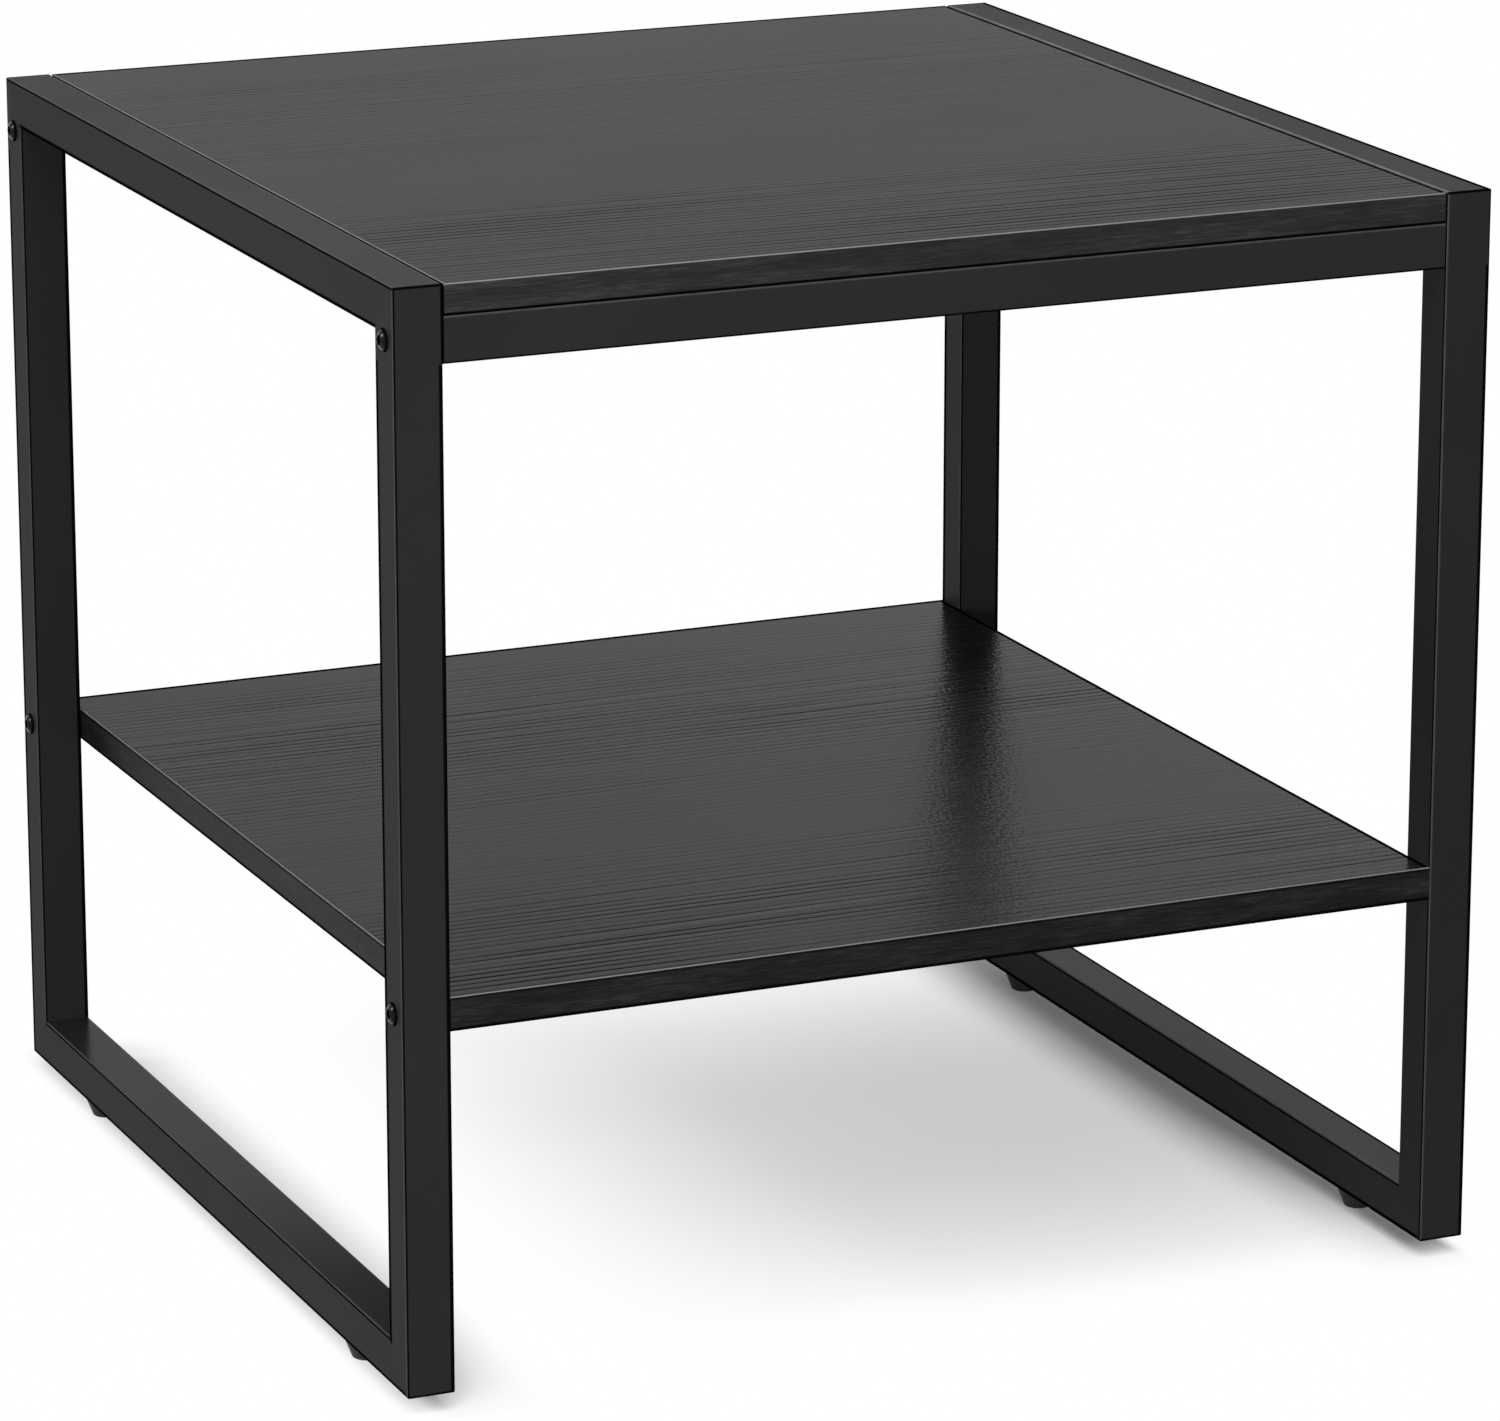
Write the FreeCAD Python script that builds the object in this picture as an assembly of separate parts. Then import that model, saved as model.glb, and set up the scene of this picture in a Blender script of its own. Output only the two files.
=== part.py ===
import FreeCAD, Part
import math
import os

from FreeCAD import Vector

# End table with one lower shelf: two welded side frames of steel tube, joined by two crossbars,
# with a top board flush between the frames and a shelf board bolted between the legs.
# Millimetres. X runs across from frame to frame, Y from front to rear, Z up.
# The origin is on the floor, below the middle of the table.

# Overall sizes
TABLE_WIDTH = 500.0           # over the outer faces of the two side frames
TABLE_DEPTH = 500.0           # over the front and rear faces of the legs
FRAME_HEIGHT = 472.0          # underside of the bottom rails to the table top

# Side frame tube
TUBE_WIDTH = 21.5             # across the frame, in X
TUBE_DEPTH = 20.5             # in the plane of the frame
TUBE_WALL = 1.2
TUBE_CORNER_RADIUS = 1.0

# Crossbars
CROSSBAR_HEIGHT = 20.0
CROSSBAR_DEPTH = 20.0
END_PLATE_THICKNESS = 3.0
END_PLATE_CLEARANCE = 0.1     # all round, inside the crossbar

# Boards and their glued edge strips
TOP_BOARD_THICKNESS = 13.0
TOP_BOARD_SIDE_GAP = 0.9      # between the top board and each top rail
SHELF_THICKNESS = 15.0
SHELF_TOP_HEIGHT = 173.0      # above the underside of the bottom rails
STRIP_THICKNESS = 1.0
STRIP_EDGE_RADIUS = 0.6

# Button-head bolts through the legs
BOLT_DIAMETER = 6.0
BOLT_HEAD_DIAMETER = 10.0
BOLT_HEAD_HEIGHT = 2.2
BOLT_HEAD_FLAT = 5.2          # flat at the crown of the head
BOLT_SOCKET_WIDTH = 4.0       # across flats
BOLT_SOCKET_DEPTH = 1.5
BOLT_HOLE_CLEARANCE = 0.25    # radial, in the legs and in the shelf
BOLT_TIP_PROJECTION = 1.5     # past the thread that the bolt is turned into
THREAD_CLEARANCE = 0.05       # radial, between a thread and the bolt or stud in it

# Weld nuts in the crossbars
NUT_WIDTH = 10.0              # across flats
NUT_HEIGHT = 5.0

# Barrel nuts in the shelf
BARREL_DIAMETER = 10.0
BARREL_CLEARANCE = 0.1        # radial
BARREL_INSET = 30.0           # shelf end to barrel axis
BARREL_COVER = 2.0            # board left above the barrel's hole
BARREL_SLOT_WIDTH = 1.4
BARREL_SLOT_DEPTH = 1.6
BOLT_HOLE_OVERRUN = 3.0       # the shelf's hole goes on past the bolt's tip

# Pan-head screws that hold the top board, their heads inside the crossbars
SCREW_DIAMETER = 4.0
SCREW_HEAD_DIAMETER = 8.0
SCREW_HEAD_HEIGHT = 2.4
SCREW_HEAD_EDGE_RADIUS = 1.2
SCREW_BITE = 9.0              # length in the board
SCREW_POINT_LENGTH = 3.0
SCREW_POINT_DIAMETER = 0.5    # at the tip of the tapered point
SCREW_SPACING = 300.0         # between the two screws of a crossbar
SCREW_HOLE_CLEARANCE = 0.3    # radial, in the crossbar's upper wall
SCREW_ACCESS_CLEARANCE = 1.0  # radial, round the head, in the crossbar's lower wall
SCREW_PILOT_CLEARANCE = 0.05  # radial, in the board

# Levelling feet
FOOT_HEIGHT = 9.0             # floor to underside of the bottom rails
FOOT_SEAT_GAP = 0.2           # between the foot and the rail, screwed right in
FOOT_TOP_DIAMETER = 18.7
FOOT_BOTTOM_DIAMETER = 12.5
FOOT_EDGE_RADIUS = 1.0
FOOT_INSET = 76.6             # front or rear face of the legs to the foot's axis
FOOT_FLOOR = 3.0              # plastic below the stud
STUD_DIAMETER = 6.0
STUD_REACH = 14.0             # above the underside of the rail
STUD_TIP_CHAMFER = 0.8

# Rivet nuts that the studs turn in
RIVET_NUT_DIAMETER = 9.0
RIVET_NUT_LENGTH = 12.0       # above the underside of the rail
RIVET_NUT_CLEARANCE = 0.1     # radial, in the rail's hole
RIVET_FLANGE_DIAMETER = 12.0
RIVET_FLANGE_THICKNESS = 0.7
RIVET_BULGE_DIAMETER = 11.5
RIVET_BULGE_LENGTH = 3.0
FOOT_RECESS_CLEARANCE = 0.5   # round the flange, radial and below

# Places worked out from the sizes
HALF_WIDTH = TABLE_WIDTH / 2
HALF_DEPTH = TABLE_DEPTH / 2
RAIL_BOTTOM = FOOT_HEIGHT
TABLE_TOP = RAIL_BOTTOM + FRAME_HEIGHT
LEG_X = HALF_WIDTH - TUBE_WIDTH / 2
LEG_Y = HALF_DEPTH - TUBE_DEPTH / 2
LEG_INNER_X = HALF_WIDTH - TUBE_WIDTH
BOARD_BOTTOM = TABLE_TOP - TOP_BOARD_THICKNESS
CROSSBAR_Y = HALF_DEPTH - CROSSBAR_DEPTH / 2
CROSSBAR_Z = BOARD_BOTTOM - CROSSBAR_HEIGHT / 2
SHELF_TOP = RAIL_BOTTOM + SHELF_TOP_HEIGHT
SHELF_BOTTOM = SHELF_TOP - SHELF_THICKNESS
SHELF_BOLT_Z = SHELF_TOP - SHELF_THICKNESS / 2
FOOT_Y = HALF_DEPTH - FOOT_INSET

BOLT_RADIUS = BOLT_DIAMETER / 2
BOLT_HOLE_RADIUS = BOLT_RADIUS + BOLT_HOLE_CLEARANCE
BOLT_THREAD_RADIUS = BOLT_RADIUS + THREAD_CLEARANCE
CROSSBAR_BOLT_LENGTH = TUBE_WIDTH + END_PLATE_THICKNESS + NUT_HEIGHT + BOLT_TIP_PROJECTION
SHELF_BOLT_REACH = BARREL_INSET + BARREL_DIAMETER / 2 + BOLT_TIP_PROJECTION
SHELF_BOLT_LENGTH = TUBE_WIDTH + SHELF_BOLT_REACH
BARREL_HOLE_DEPTH = SHELF_THICKNESS - BARREL_COVER
BARREL_HALF_LENGTH = SHELF_THICKNESS / 2 - BARREL_COVER
STUD_RADIUS = STUD_DIAMETER / 2
STUD_BORE_RADIUS = STUD_RADIUS + THREAD_CLEARANCE

TOUCHING = 0.01               # closer than this counts as being at the same height

SIDES = {"left": -1, "right": 1}
ENDS = {"front": -1, "rear": 1}
CORNERS = [(side, end) for side in SIDES.values() for end in ENDS.values()]

X_AXIS = Vector(1, 0, 0)
Y_AXIS = Vector(0, 1, 0)
Z_AXIS = Vector(0, 0, 1)
ORIGIN = Vector(0, 0, 0)


def turned(shape, axis, degrees):
    """The shape turned about an axis through the origin."""
    copy = shape.copy()
    copy.rotate(ORIGIN, axis, degrees)
    return copy


def moved(shape, x, y, z):
    """The shape moved by x, y, z."""
    copy = shape.copy()
    copy.translate(Vector(x, y, z))
    return copy


def facing_out(shape, side):
    """A shape built along +Z, turned to point along X to the side given."""
    return turned(shape, Y_AXIS, 90 * side)


def block(x_range, y_range, z_range):
    """A box between two places on each axis."""
    (x0, x1), (y0, y1), (z0, z1) = x_range, y_range, z_range
    return Part.makeBox(x1 - x0, y1 - y0, z1 - z0, Vector(x0, y0, z0))


def rod(radius, start, direction, length):
    """A cylinder from a start point."""
    return Part.makeCylinder(radius, length, start, direction)


def rounded_at(shape, height, radius):
    """The shape with the edges that lie level at a height rounded."""
    edges = [edge for edge in shape.Edges if lies_at(edge, height)]
    return shape.makeFillet(radius, edges)


def lies_at(edge, height):
    """Whether a whole edge lies at a height."""
    box = edge.BoundBox
    return abs(box.ZMin - height) < TOUCHING and abs(box.ZMax - height) < TOUCHING


def rounded_prism(width, depth, length, radius):
    """An upright bar centred on the Z axis, its four long edges rounded where the radius allows."""
    bar = block((-width / 2, width / 2), (-depth / 2, depth / 2), (0, length))
    if radius <= 0:
        return bar
    upright = [edge for edge in bar.Edges if edge.BoundBox.ZLength > length - TOUCHING]
    return bar.makeFillet(radius, upright)


def tube(width, depth, length):
    """An upright square-section tube centred on the Z axis."""
    outer = rounded_prism(width, depth, length, TUBE_CORNER_RADIUS)
    inner_radius = TUBE_CORNER_RADIUS - TUBE_WALL
    inner = rounded_prism(width - 2 * TUBE_WALL, depth - 2 * TUBE_WALL, length, inner_radius)
    return outer.cut(inner)


def hexagon(width, height):
    """An upright hexagonal prism on the XY plane, of a width across flats."""
    radius = width / math.sqrt(3)
    angles = [math.radians(60 * corner) for corner in range(7)]
    points = [Vector(radius * math.cos(angle), radius * math.sin(angle), 0) for angle in angles]
    return Part.Face(Part.makePolygon(points)).extrude(Vector(0, 0, height))


def spun(points):
    """The solid made by spinning a closed outline of (radius, height) points about the Z axis."""
    outline = [Vector(radius, 0, height) for radius, height in points]
    return Part.Face(Part.makePolygon(outline + outline[:1])).revolve(ORIGIN, Z_AXIS, 360)


def mitred_tube(length):
    """An upright frame tube with both ends cut at 45 degrees, its long face towards +Y."""
    overcut = TUBE_DEPTH
    near = TUBE_DEPTH / 2 + overcut
    far = -near
    foot = TUBE_DEPTH + overcut
    outline = [(near, -overcut), (far, foot), (far, length - foot), (near, length + overcut)]
    points = [Vector(-TUBE_WIDTH, y, z) for y, z in outline]
    wedge = Part.Face(Part.makePolygon(points + points[:1])).extrude(Vector(2 * TUBE_WIDTH, 0, 0))
    return tube(TUBE_WIDTH, TUBE_DEPTH, length).common(wedge)


def leg(side, end):
    """A leg, drilled across for its crossbar bolt and its shelf bolt."""
    shape = turned(mitred_tube(FRAME_HEIGHT), Z_AXIS, 90 - 90 * end)
    shape = moved(shape, side * LEG_X, end * LEG_Y, RAIL_BOTTOM)
    places = [(CROSSBAR_Y, CROSSBAR_Z), (LEG_Y, SHELF_BOLT_Z)]
    starts = [Vector(side * LEG_X - TUBE_WIDTH, end * y, z) for y, z in places]
    holes = [rod(BOLT_HOLE_RADIUS, start, X_AXIS, 2 * TUBE_WIDTH) for start in starts]
    return shape.cut(holes)


def top_rail(side):
    """A top rail, long face up."""
    shape = turned(mitred_tube(TABLE_DEPTH), X_AXIS, 90)
    return moved(shape, side * LEG_X, HALF_DEPTH, TABLE_TOP - TUBE_DEPTH / 2)


def bottom_rail(side):
    """A bottom rail, long face down, drilled from below for two rivet nuts."""
    shape = turned(mitred_tube(TABLE_DEPTH), X_AXIS, -90)
    shape = moved(shape, side * LEG_X, -HALF_DEPTH, RAIL_BOTTOM + TUBE_DEPTH / 2)
    radius = RIVET_NUT_DIAMETER / 2 + RIVET_NUT_CLEARANCE
    starts = [Vector(side * LEG_X, end * FOOT_Y, RAIL_BOTTOM - TUBE_WALL) for end in ENDS.values()]
    return shape.cut([rod(radius, start, Z_AXIS, 3 * TUBE_WALL) for start in starts])


def crossbar(end):
    """A crossbar between the legs, with wide holes below that let the screws in and narrow ones above."""
    length = 2 * LEG_INNER_X
    shape = turned(tube(CROSSBAR_HEIGHT, CROSSBAR_DEPTH, length), Y_AXIS, 90)
    shape = moved(shape, -LEG_INNER_X, end * CROSSBAR_Y, CROSSBAR_Z)
    hole_radius = SCREW_DIAMETER / 2 + SCREW_HOLE_CLEARANCE
    access_radius = SCREW_HEAD_DIAMETER / 2 + SCREW_ACCESS_CLEARANCE
    starts = [Vector(side * SCREW_SPACING / 2, end * CROSSBAR_Y, CROSSBAR_Z) for side in SIDES.values()]
    holes = [rod(hole_radius, start, Z_AXIS, CROSSBAR_HEIGHT) for start in starts]
    accesses = [rod(access_radius, start, -Z_AXIS, CROSSBAR_HEIGHT) for start in starts]
    return shape.cut(holes + accesses)


def end_plate(side, end):
    """The plate welded into a crossbar's end, flush with it, with a hole for the bolt."""
    inside = TUBE_WALL + END_PLATE_CLEARANCE
    height = CROSSBAR_HEIGHT - 2 * inside
    depth = CROSSBAR_DEPTH - 2 * inside
    plate = rounded_prism(height, depth, END_PLATE_THICKNESS, TUBE_CORNER_RADIUS - inside)
    plate = plate.cut(rod(BOLT_HOLE_RADIUS, ORIGIN, Z_AXIS, END_PLATE_THICKNESS))
    return moved(facing_out(plate, -side), side * LEG_INNER_X, end * CROSSBAR_Y, CROSSBAR_Z)


def weld_nut(side, end):
    """The nut welded to the inner face of an end plate."""
    nut = hexagon(NUT_WIDTH, NUT_HEIGHT).cut(rod(BOLT_THREAD_RADIUS, ORIGIN, Z_AXIS, NUT_HEIGHT))
    face = LEG_INNER_X - END_PLATE_THICKNESS
    return moved(facing_out(nut, -side), side * face, end * CROSSBAR_Y, CROSSBAR_Z)


def button_bolt(length):
    """A button-head bolt with a hexagon socket, its head above the XY plane and its shank below."""
    rim = Vector(BOLT_HEAD_DIAMETER / 2, 0, 0)
    crown = Vector(BOLT_HEAD_FLAT / 2, 0, BOLT_HEAD_HEIGHT)
    centre = Vector(0, 0, (crown.dot(crown) - rim.dot(rim)) / (2 * BOLT_HEAD_HEIGHT))
    middle = (rim - centre) + (crown - centre)
    bend = centre + middle.normalize() * (rim - centre).Length
    dome = Part.Arc(rim, bend, crown).toShape()
    flats = Part.makePolygon([crown, Vector(0, 0, BOLT_HEAD_HEIGHT), ORIGIN, rim])
    head = Part.Face(Part.Wire([dome] + flats.Edges)).revolve(ORIGIN, Z_AXIS, 360)
    socket = moved(hexagon(BOLT_SOCKET_WIDTH, BOLT_SOCKET_DEPTH), 0, 0, BOLT_HEAD_HEIGHT - BOLT_SOCKET_DEPTH)
    shank = rod(BOLT_RADIUS, Vector(0, 0, -length), Z_AXIS, length)
    return head.cut(socket).fuse(shank).removeSplitter()


def leg_bolt(side, end, length, y, z):
    """A bolt through a leg, its head on the outer side face."""
    return moved(facing_out(button_bolt(length), side), side * HALF_WIDTH, end * y, z)


def edge_strip(length, height):
    """A glued edge strip along +X from the origin, its outer face towards -Y with rounded edges."""
    t, r = STRIP_THICKNESS, STRIP_EDGE_RADIUS
    diagonal = r * (1 - math.sqrt(0.5))
    lower = Part.Arc(Vector(0, r - t, 0), Vector(0, diagonal - t, diagonal), Vector(0, -t, r)).toShape()
    top = Vector(0, diagonal - t, height - diagonal)
    upper = Part.Arc(Vector(0, -t, height - r), top, Vector(0, r - t, height)).toShape()
    face = Part.makeLine(Vector(0, -t, r), Vector(0, -t, height - r))
    back = Part.makePolygon([Vector(0, r - t, height), Vector(0, 0, height), ORIGIN, Vector(0, r - t, 0)])
    outline = Part.Wire([lower, face, upper] + back.Edges)
    return Part.Face(outline).extrude(Vector(length, 0, 0))


def board_strips(name, half_width, bottom, thickness):
    """The four edge strips of a board: the front and rear ones cover the ends of the side ones."""
    strips = {}
    for end_name, end in ENDS.items():
        strip = turned(moved(edge_strip(2 * half_width, thickness), -half_width, 0, 0), Z_AXIS, 90 + 90 * end)
        strips[f"{name}_{end_name}_strip"] = moved(strip, 0, end * (HALF_DEPTH - STRIP_THICKNESS), bottom)
    half_length = HALF_DEPTH - STRIP_THICKNESS
    for side_name, side in SIDES.items():
        strip = turned(moved(edge_strip(2 * half_length, thickness), -half_length, 0, 0), Z_AXIS, 90 * side)
        strips[f"{name}_{side_name}_strip"] = moved(strip, side * (half_width - STRIP_THICKNESS), 0, bottom)
    return strips


def board_core(half_width, bottom, thickness):
    """A board without its edge strips."""
    core_width = half_width - STRIP_THICKNESS
    core_depth = HALF_DEPTH - STRIP_THICKNESS
    return block((-core_width, core_width), (-core_depth, core_depth), (bottom, bottom + thickness))


def screw_places():
    """The (x, y) places of the screws that hold the top board."""
    return [(side * SCREW_SPACING / 2, end * CROSSBAR_Y) for side, end in CORNERS]


def top_board_pieces():
    """The top board with its pilot holes, and its edge strips."""
    half_width = LEG_INNER_X - TOP_BOARD_SIDE_GAP
    radius = SCREW_DIAMETER / 2 + SCREW_PILOT_CLEARANCE
    pilots = [rod(radius, Vector(x, y, BOARD_BOTTOM), Z_AXIS, SCREW_BITE) for x, y in screw_places()]
    pieces = {"top_board": board_core(half_width, BOARD_BOTTOM, TOP_BOARD_THICKNESS).cut(pilots)}
    pieces.update(board_strips("top_board", half_width, BOARD_BOTTOM, TOP_BOARD_THICKNESS))
    return pieces


def shelf_bolt_hole(side, end):
    """The hole from a shelf end, past the tip of its bolt."""
    start = Vector(side * LEG_INNER_X, end * LEG_Y, SHELF_BOLT_Z)
    return rod(BOLT_HOLE_RADIUS, start, Vector(-side, 0, 0), SHELF_BOLT_REACH + BOLT_HOLE_OVERRUN)


def shelf_pieces():
    """The shelf board with its bolt holes and barrel holes, and its edge strips."""
    bolt_holes = [shelf_bolt_hole(side, end) for side, end in CORNERS]
    barrel_x = LEG_INNER_X - BARREL_INSET
    radius = BARREL_DIAMETER / 2 + BARREL_CLEARANCE
    starts = [Vector(side * barrel_x, end * LEG_Y, SHELF_BOTTOM) for side, end in CORNERS]
    barrel_holes = [rod(radius, start, Z_AXIS, BARREL_HOLE_DEPTH) for start in starts]
    core = board_core(LEG_INNER_X, SHELF_BOTTOM, SHELF_THICKNESS)
    pieces = {"shelf_board": core.cut(bolt_holes + barrel_holes)}
    for name, strip in board_strips("shelf", LEG_INNER_X, SHELF_BOTTOM, SHELF_THICKNESS).items():
        on_a_side = any(side in name for side in SIDES)
        pieces[name] = strip.cut(bolt_holes) if on_a_side else strip
    return pieces


def barrel_nut(side, end):
    """A barrel nut, threaded across its middle, with a screwdriver slot in its lower end."""
    length = 2 * BARREL_HALF_LENGTH
    radius = BARREL_DIAMETER / 2
    barrel = rod(radius, Vector(0, 0, -BARREL_HALF_LENGTH), Z_AXIS, length)
    thread = rod(BOLT_THREAD_RADIUS, Vector(-radius, 0, 0), X_AXIS, BARREL_DIAMETER)
    slot_bottom = -BARREL_HALF_LENGTH
    slot = block(
        (-radius, radius),
        (-BARREL_SLOT_WIDTH / 2, BARREL_SLOT_WIDTH / 2),
        (slot_bottom, slot_bottom + BARREL_SLOT_DEPTH),
    )
    return moved(barrel.cut([thread, slot]), side * (LEG_INNER_X - BARREL_INSET), end * LEG_Y, SHELF_BOLT_Z)


def board_screw(x, y):
    """A pan-head screw, its head against the crossbar's upper wall and its point in the top board."""
    radius = SCREW_DIAMETER / 2
    shank_length = TUBE_WALL + SCREW_BITE - SCREW_POINT_LENGTH
    head = rod(SCREW_HEAD_DIAMETER / 2, Vector(0, 0, -SCREW_HEAD_HEIGHT), Z_AXIS, SCREW_HEAD_HEIGHT)
    head = rounded_at(head, -SCREW_HEAD_HEIGHT, SCREW_HEAD_EDGE_RADIUS)
    shank = rod(radius, ORIGIN, Z_AXIS, shank_length)
    point = Part.makeCone(radius, SCREW_POINT_DIAMETER / 2, SCREW_POINT_LENGTH)
    screw = head.fuse([shank, moved(point, 0, 0, shank_length)]).removeSplitter()
    return moved(screw, x, y, BOARD_BOTTOM - TUBE_WALL)


def rivet_nut(side, end):
    """A rivet nut set in the bottom wall of a rail: flange below, crimped bulge above."""
    bore = STUD_BORE_RADIUS
    body = RIVET_NUT_DIAMETER / 2
    flange = RIVET_FLANGE_DIAMETER / 2
    bulge = RIVET_BULGE_DIAMETER / 2
    outline = [
        (bore, -RIVET_FLANGE_THICKNESS),
        (flange, -RIVET_FLANGE_THICKNESS),
        (flange, 0),
        (body, 0),
        (body, TUBE_WALL),
        (bulge, TUBE_WALL),
        (body, TUBE_WALL + RIVET_BULGE_LENGTH),
        (body, RIVET_NUT_LENGTH),
        (bore, RIVET_NUT_LENGTH),
    ]
    return moved(spun(outline), side * LEG_X, end * FOOT_Y, RAIL_BOTTOM)


def foot_base(side, end):
    """The plastic cone of a foot, recessed round the rivet nut's flange and bored for the stud."""
    height = FOOT_HEIGHT - FOOT_SEAT_GAP
    cone = Part.makeCone(FOOT_BOTTOM_DIAMETER / 2, FOOT_TOP_DIAMETER / 2, height)
    cone = rounded_at(cone, 0, FOOT_EDGE_RADIUS)
    recess_radius = RIVET_FLANGE_DIAMETER / 2 + FOOT_RECESS_CLEARANCE
    recess_depth = RIVET_FLANGE_THICKNESS + FOOT_RECESS_CLEARANCE
    recess = rod(recess_radius, Vector(0, 0, height - recess_depth), Z_AXIS, recess_depth)
    bore = rod(STUD_BORE_RADIUS, Vector(0, 0, FOOT_FLOOR), Z_AXIS, height)
    return moved(cone.cut([recess, bore]), side * LEG_X, end * FOOT_Y, 0)


def foot_stud(side, end):
    """The threaded stud of a foot, from inside the plastic base up through the rivet nut."""
    tip = RAIL_BOTTOM + STUD_REACH
    shoulder = STUD_RADIUS - STUD_TIP_CHAMFER
    outline = [
        (0, FOOT_FLOOR),
        (STUD_RADIUS, FOOT_FLOOR),
        (STUD_RADIUS, tip - STUD_TIP_CHAMFER),
        (shoulder, tip),
        (0, tip),
    ]
    return moved(spun(outline), side * LEG_X, end * FOOT_Y, 0)


def group(maker):
    """One piece for each corner of the table, as a group of separate solids."""
    return Part.makeCompound([maker(side, end) for side, end in CORNERS])


def crossbar_bolt(side, end):
    """A bolt through a leg into the weld nut of a crossbar."""
    return leg_bolt(side, end, CROSSBAR_BOLT_LENGTH, CROSSBAR_Y, CROSSBAR_Z)


def shelf_bolt(side, end):
    """A bolt through a leg into a barrel nut of the shelf."""
    return leg_bolt(side, end, SHELF_BOLT_LENGTH, LEG_Y, SHELF_BOLT_Z)


def table_pieces():
    """Every piece of the table by name."""
    pieces = {}
    for side_name, side in SIDES.items():
        pieces[f"{side_name}_top_rail"] = top_rail(side)
        pieces[f"{side_name}_bottom_rail"] = bottom_rail(side)
        for end_name, end in ENDS.items():
            pieces[f"{side_name}_{end_name}_leg"] = leg(side, end)
            pieces[f"{side_name}_{end_name}_end_plate"] = end_plate(side, end)
            pieces[f"{side_name}_{end_name}_foot_base"] = foot_base(side, end)
            pieces[f"{side_name}_{end_name}_foot_stud"] = foot_stud(side, end)
    for end_name, end in ENDS.items():
        pieces[f"{end_name}_crossbar"] = crossbar(end)
    pieces.update(top_board_pieces())
    pieces.update(shelf_pieces())
    pieces["crossbar_bolts"] = group(crossbar_bolt)
    pieces["crossbar_weld_nuts"] = group(weld_nut)
    pieces["shelf_bolts"] = group(shelf_bolt)
    pieces["shelf_barrel_nuts"] = group(barrel_nut)
    pieces["foot_rivet_nuts"] = group(rivet_nut)
    pieces["top_board_screws"] = Part.makeCompound([board_screw(x, y) for x, y in screw_places()])
    return pieces


os.makedirs("parts", exist_ok=True)
for piece_name, piece in table_pieces().items():
    piece.exportStep(f"parts/{piece_name}.step")
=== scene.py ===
"""Looks of an end table with one lower shelf.

Two welded frames of black coated steel tube carry a top board and a shelf board with a black wood grain.
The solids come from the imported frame. This script gives each of them its finish, puts detailed fasteners and
levelling feet in place of the plain ones, and sets the studio and the camera.
Metres, +Z up, the front of the table towards -Y.
"""

import logging
import math
from dataclasses import dataclass
from enum import Enum
from typing import Any, Dict, List, Mapping, Optional, Sequence, Tuple, Union

import bmesh
import bpy
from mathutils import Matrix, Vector


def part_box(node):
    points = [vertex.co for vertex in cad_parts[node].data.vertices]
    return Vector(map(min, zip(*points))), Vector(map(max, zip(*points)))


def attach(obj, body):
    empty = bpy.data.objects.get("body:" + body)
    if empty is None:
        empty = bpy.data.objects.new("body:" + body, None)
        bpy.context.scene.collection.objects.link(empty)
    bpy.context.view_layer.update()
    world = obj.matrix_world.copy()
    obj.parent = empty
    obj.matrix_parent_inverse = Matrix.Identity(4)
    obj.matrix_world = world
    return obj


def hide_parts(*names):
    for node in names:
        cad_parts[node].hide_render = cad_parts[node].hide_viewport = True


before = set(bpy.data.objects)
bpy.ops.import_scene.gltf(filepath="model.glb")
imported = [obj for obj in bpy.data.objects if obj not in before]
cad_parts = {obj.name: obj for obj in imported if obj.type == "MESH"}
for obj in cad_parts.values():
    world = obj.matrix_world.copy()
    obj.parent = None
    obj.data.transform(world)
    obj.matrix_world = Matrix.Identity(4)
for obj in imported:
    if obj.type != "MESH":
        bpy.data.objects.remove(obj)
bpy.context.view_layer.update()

log = logging.getLogger("end_table")

TABLE_BODY = "table"
RING_SHAPES = ("hexagon", "cross", "thread")
CREASE_ANGLE = math.radians(32)

Corner = Tuple[float, float, float]
Key = Union[str, int]
Operand = Union["Value", float]
Place = Tuple[Vector, Vector]


class Side(Enum):
    """The two side frames, by the sign of their X."""

    LEFT = -1
    RIGHT = 1

    @property
    def label(self) -> str:
        """The word that node names use."""
        return self.name.lower()


class End(Enum):
    """The two ends of a side frame, by the sign of their Y."""

    FRONT = -1
    REAR = 1

    @property
    def label(self) -> str:
        """The word that node names use."""
        return self.name.lower()


class Run(Enum):
    """The axis that a strip's grain runs along."""

    ALONG_X = "x"
    ALONG_Y = "y"


class Rims(Enum):
    """Which long edges of a tube carry a painted highlight; the others carry painted dark lines of shade."""

    LEFT_FACE = "the left face's front edge"
    FRONT_CORNER = "the front face's left edge"
    UPPER_FACE = "both edges of the upper face"
    UPPER_CORNER = "the upper face's left edge, round the corner"
    FRONT_FACE = "the front face's upper edge, below a seam"


CORNERS = [(side, end) for side in Side for end in End]


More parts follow.
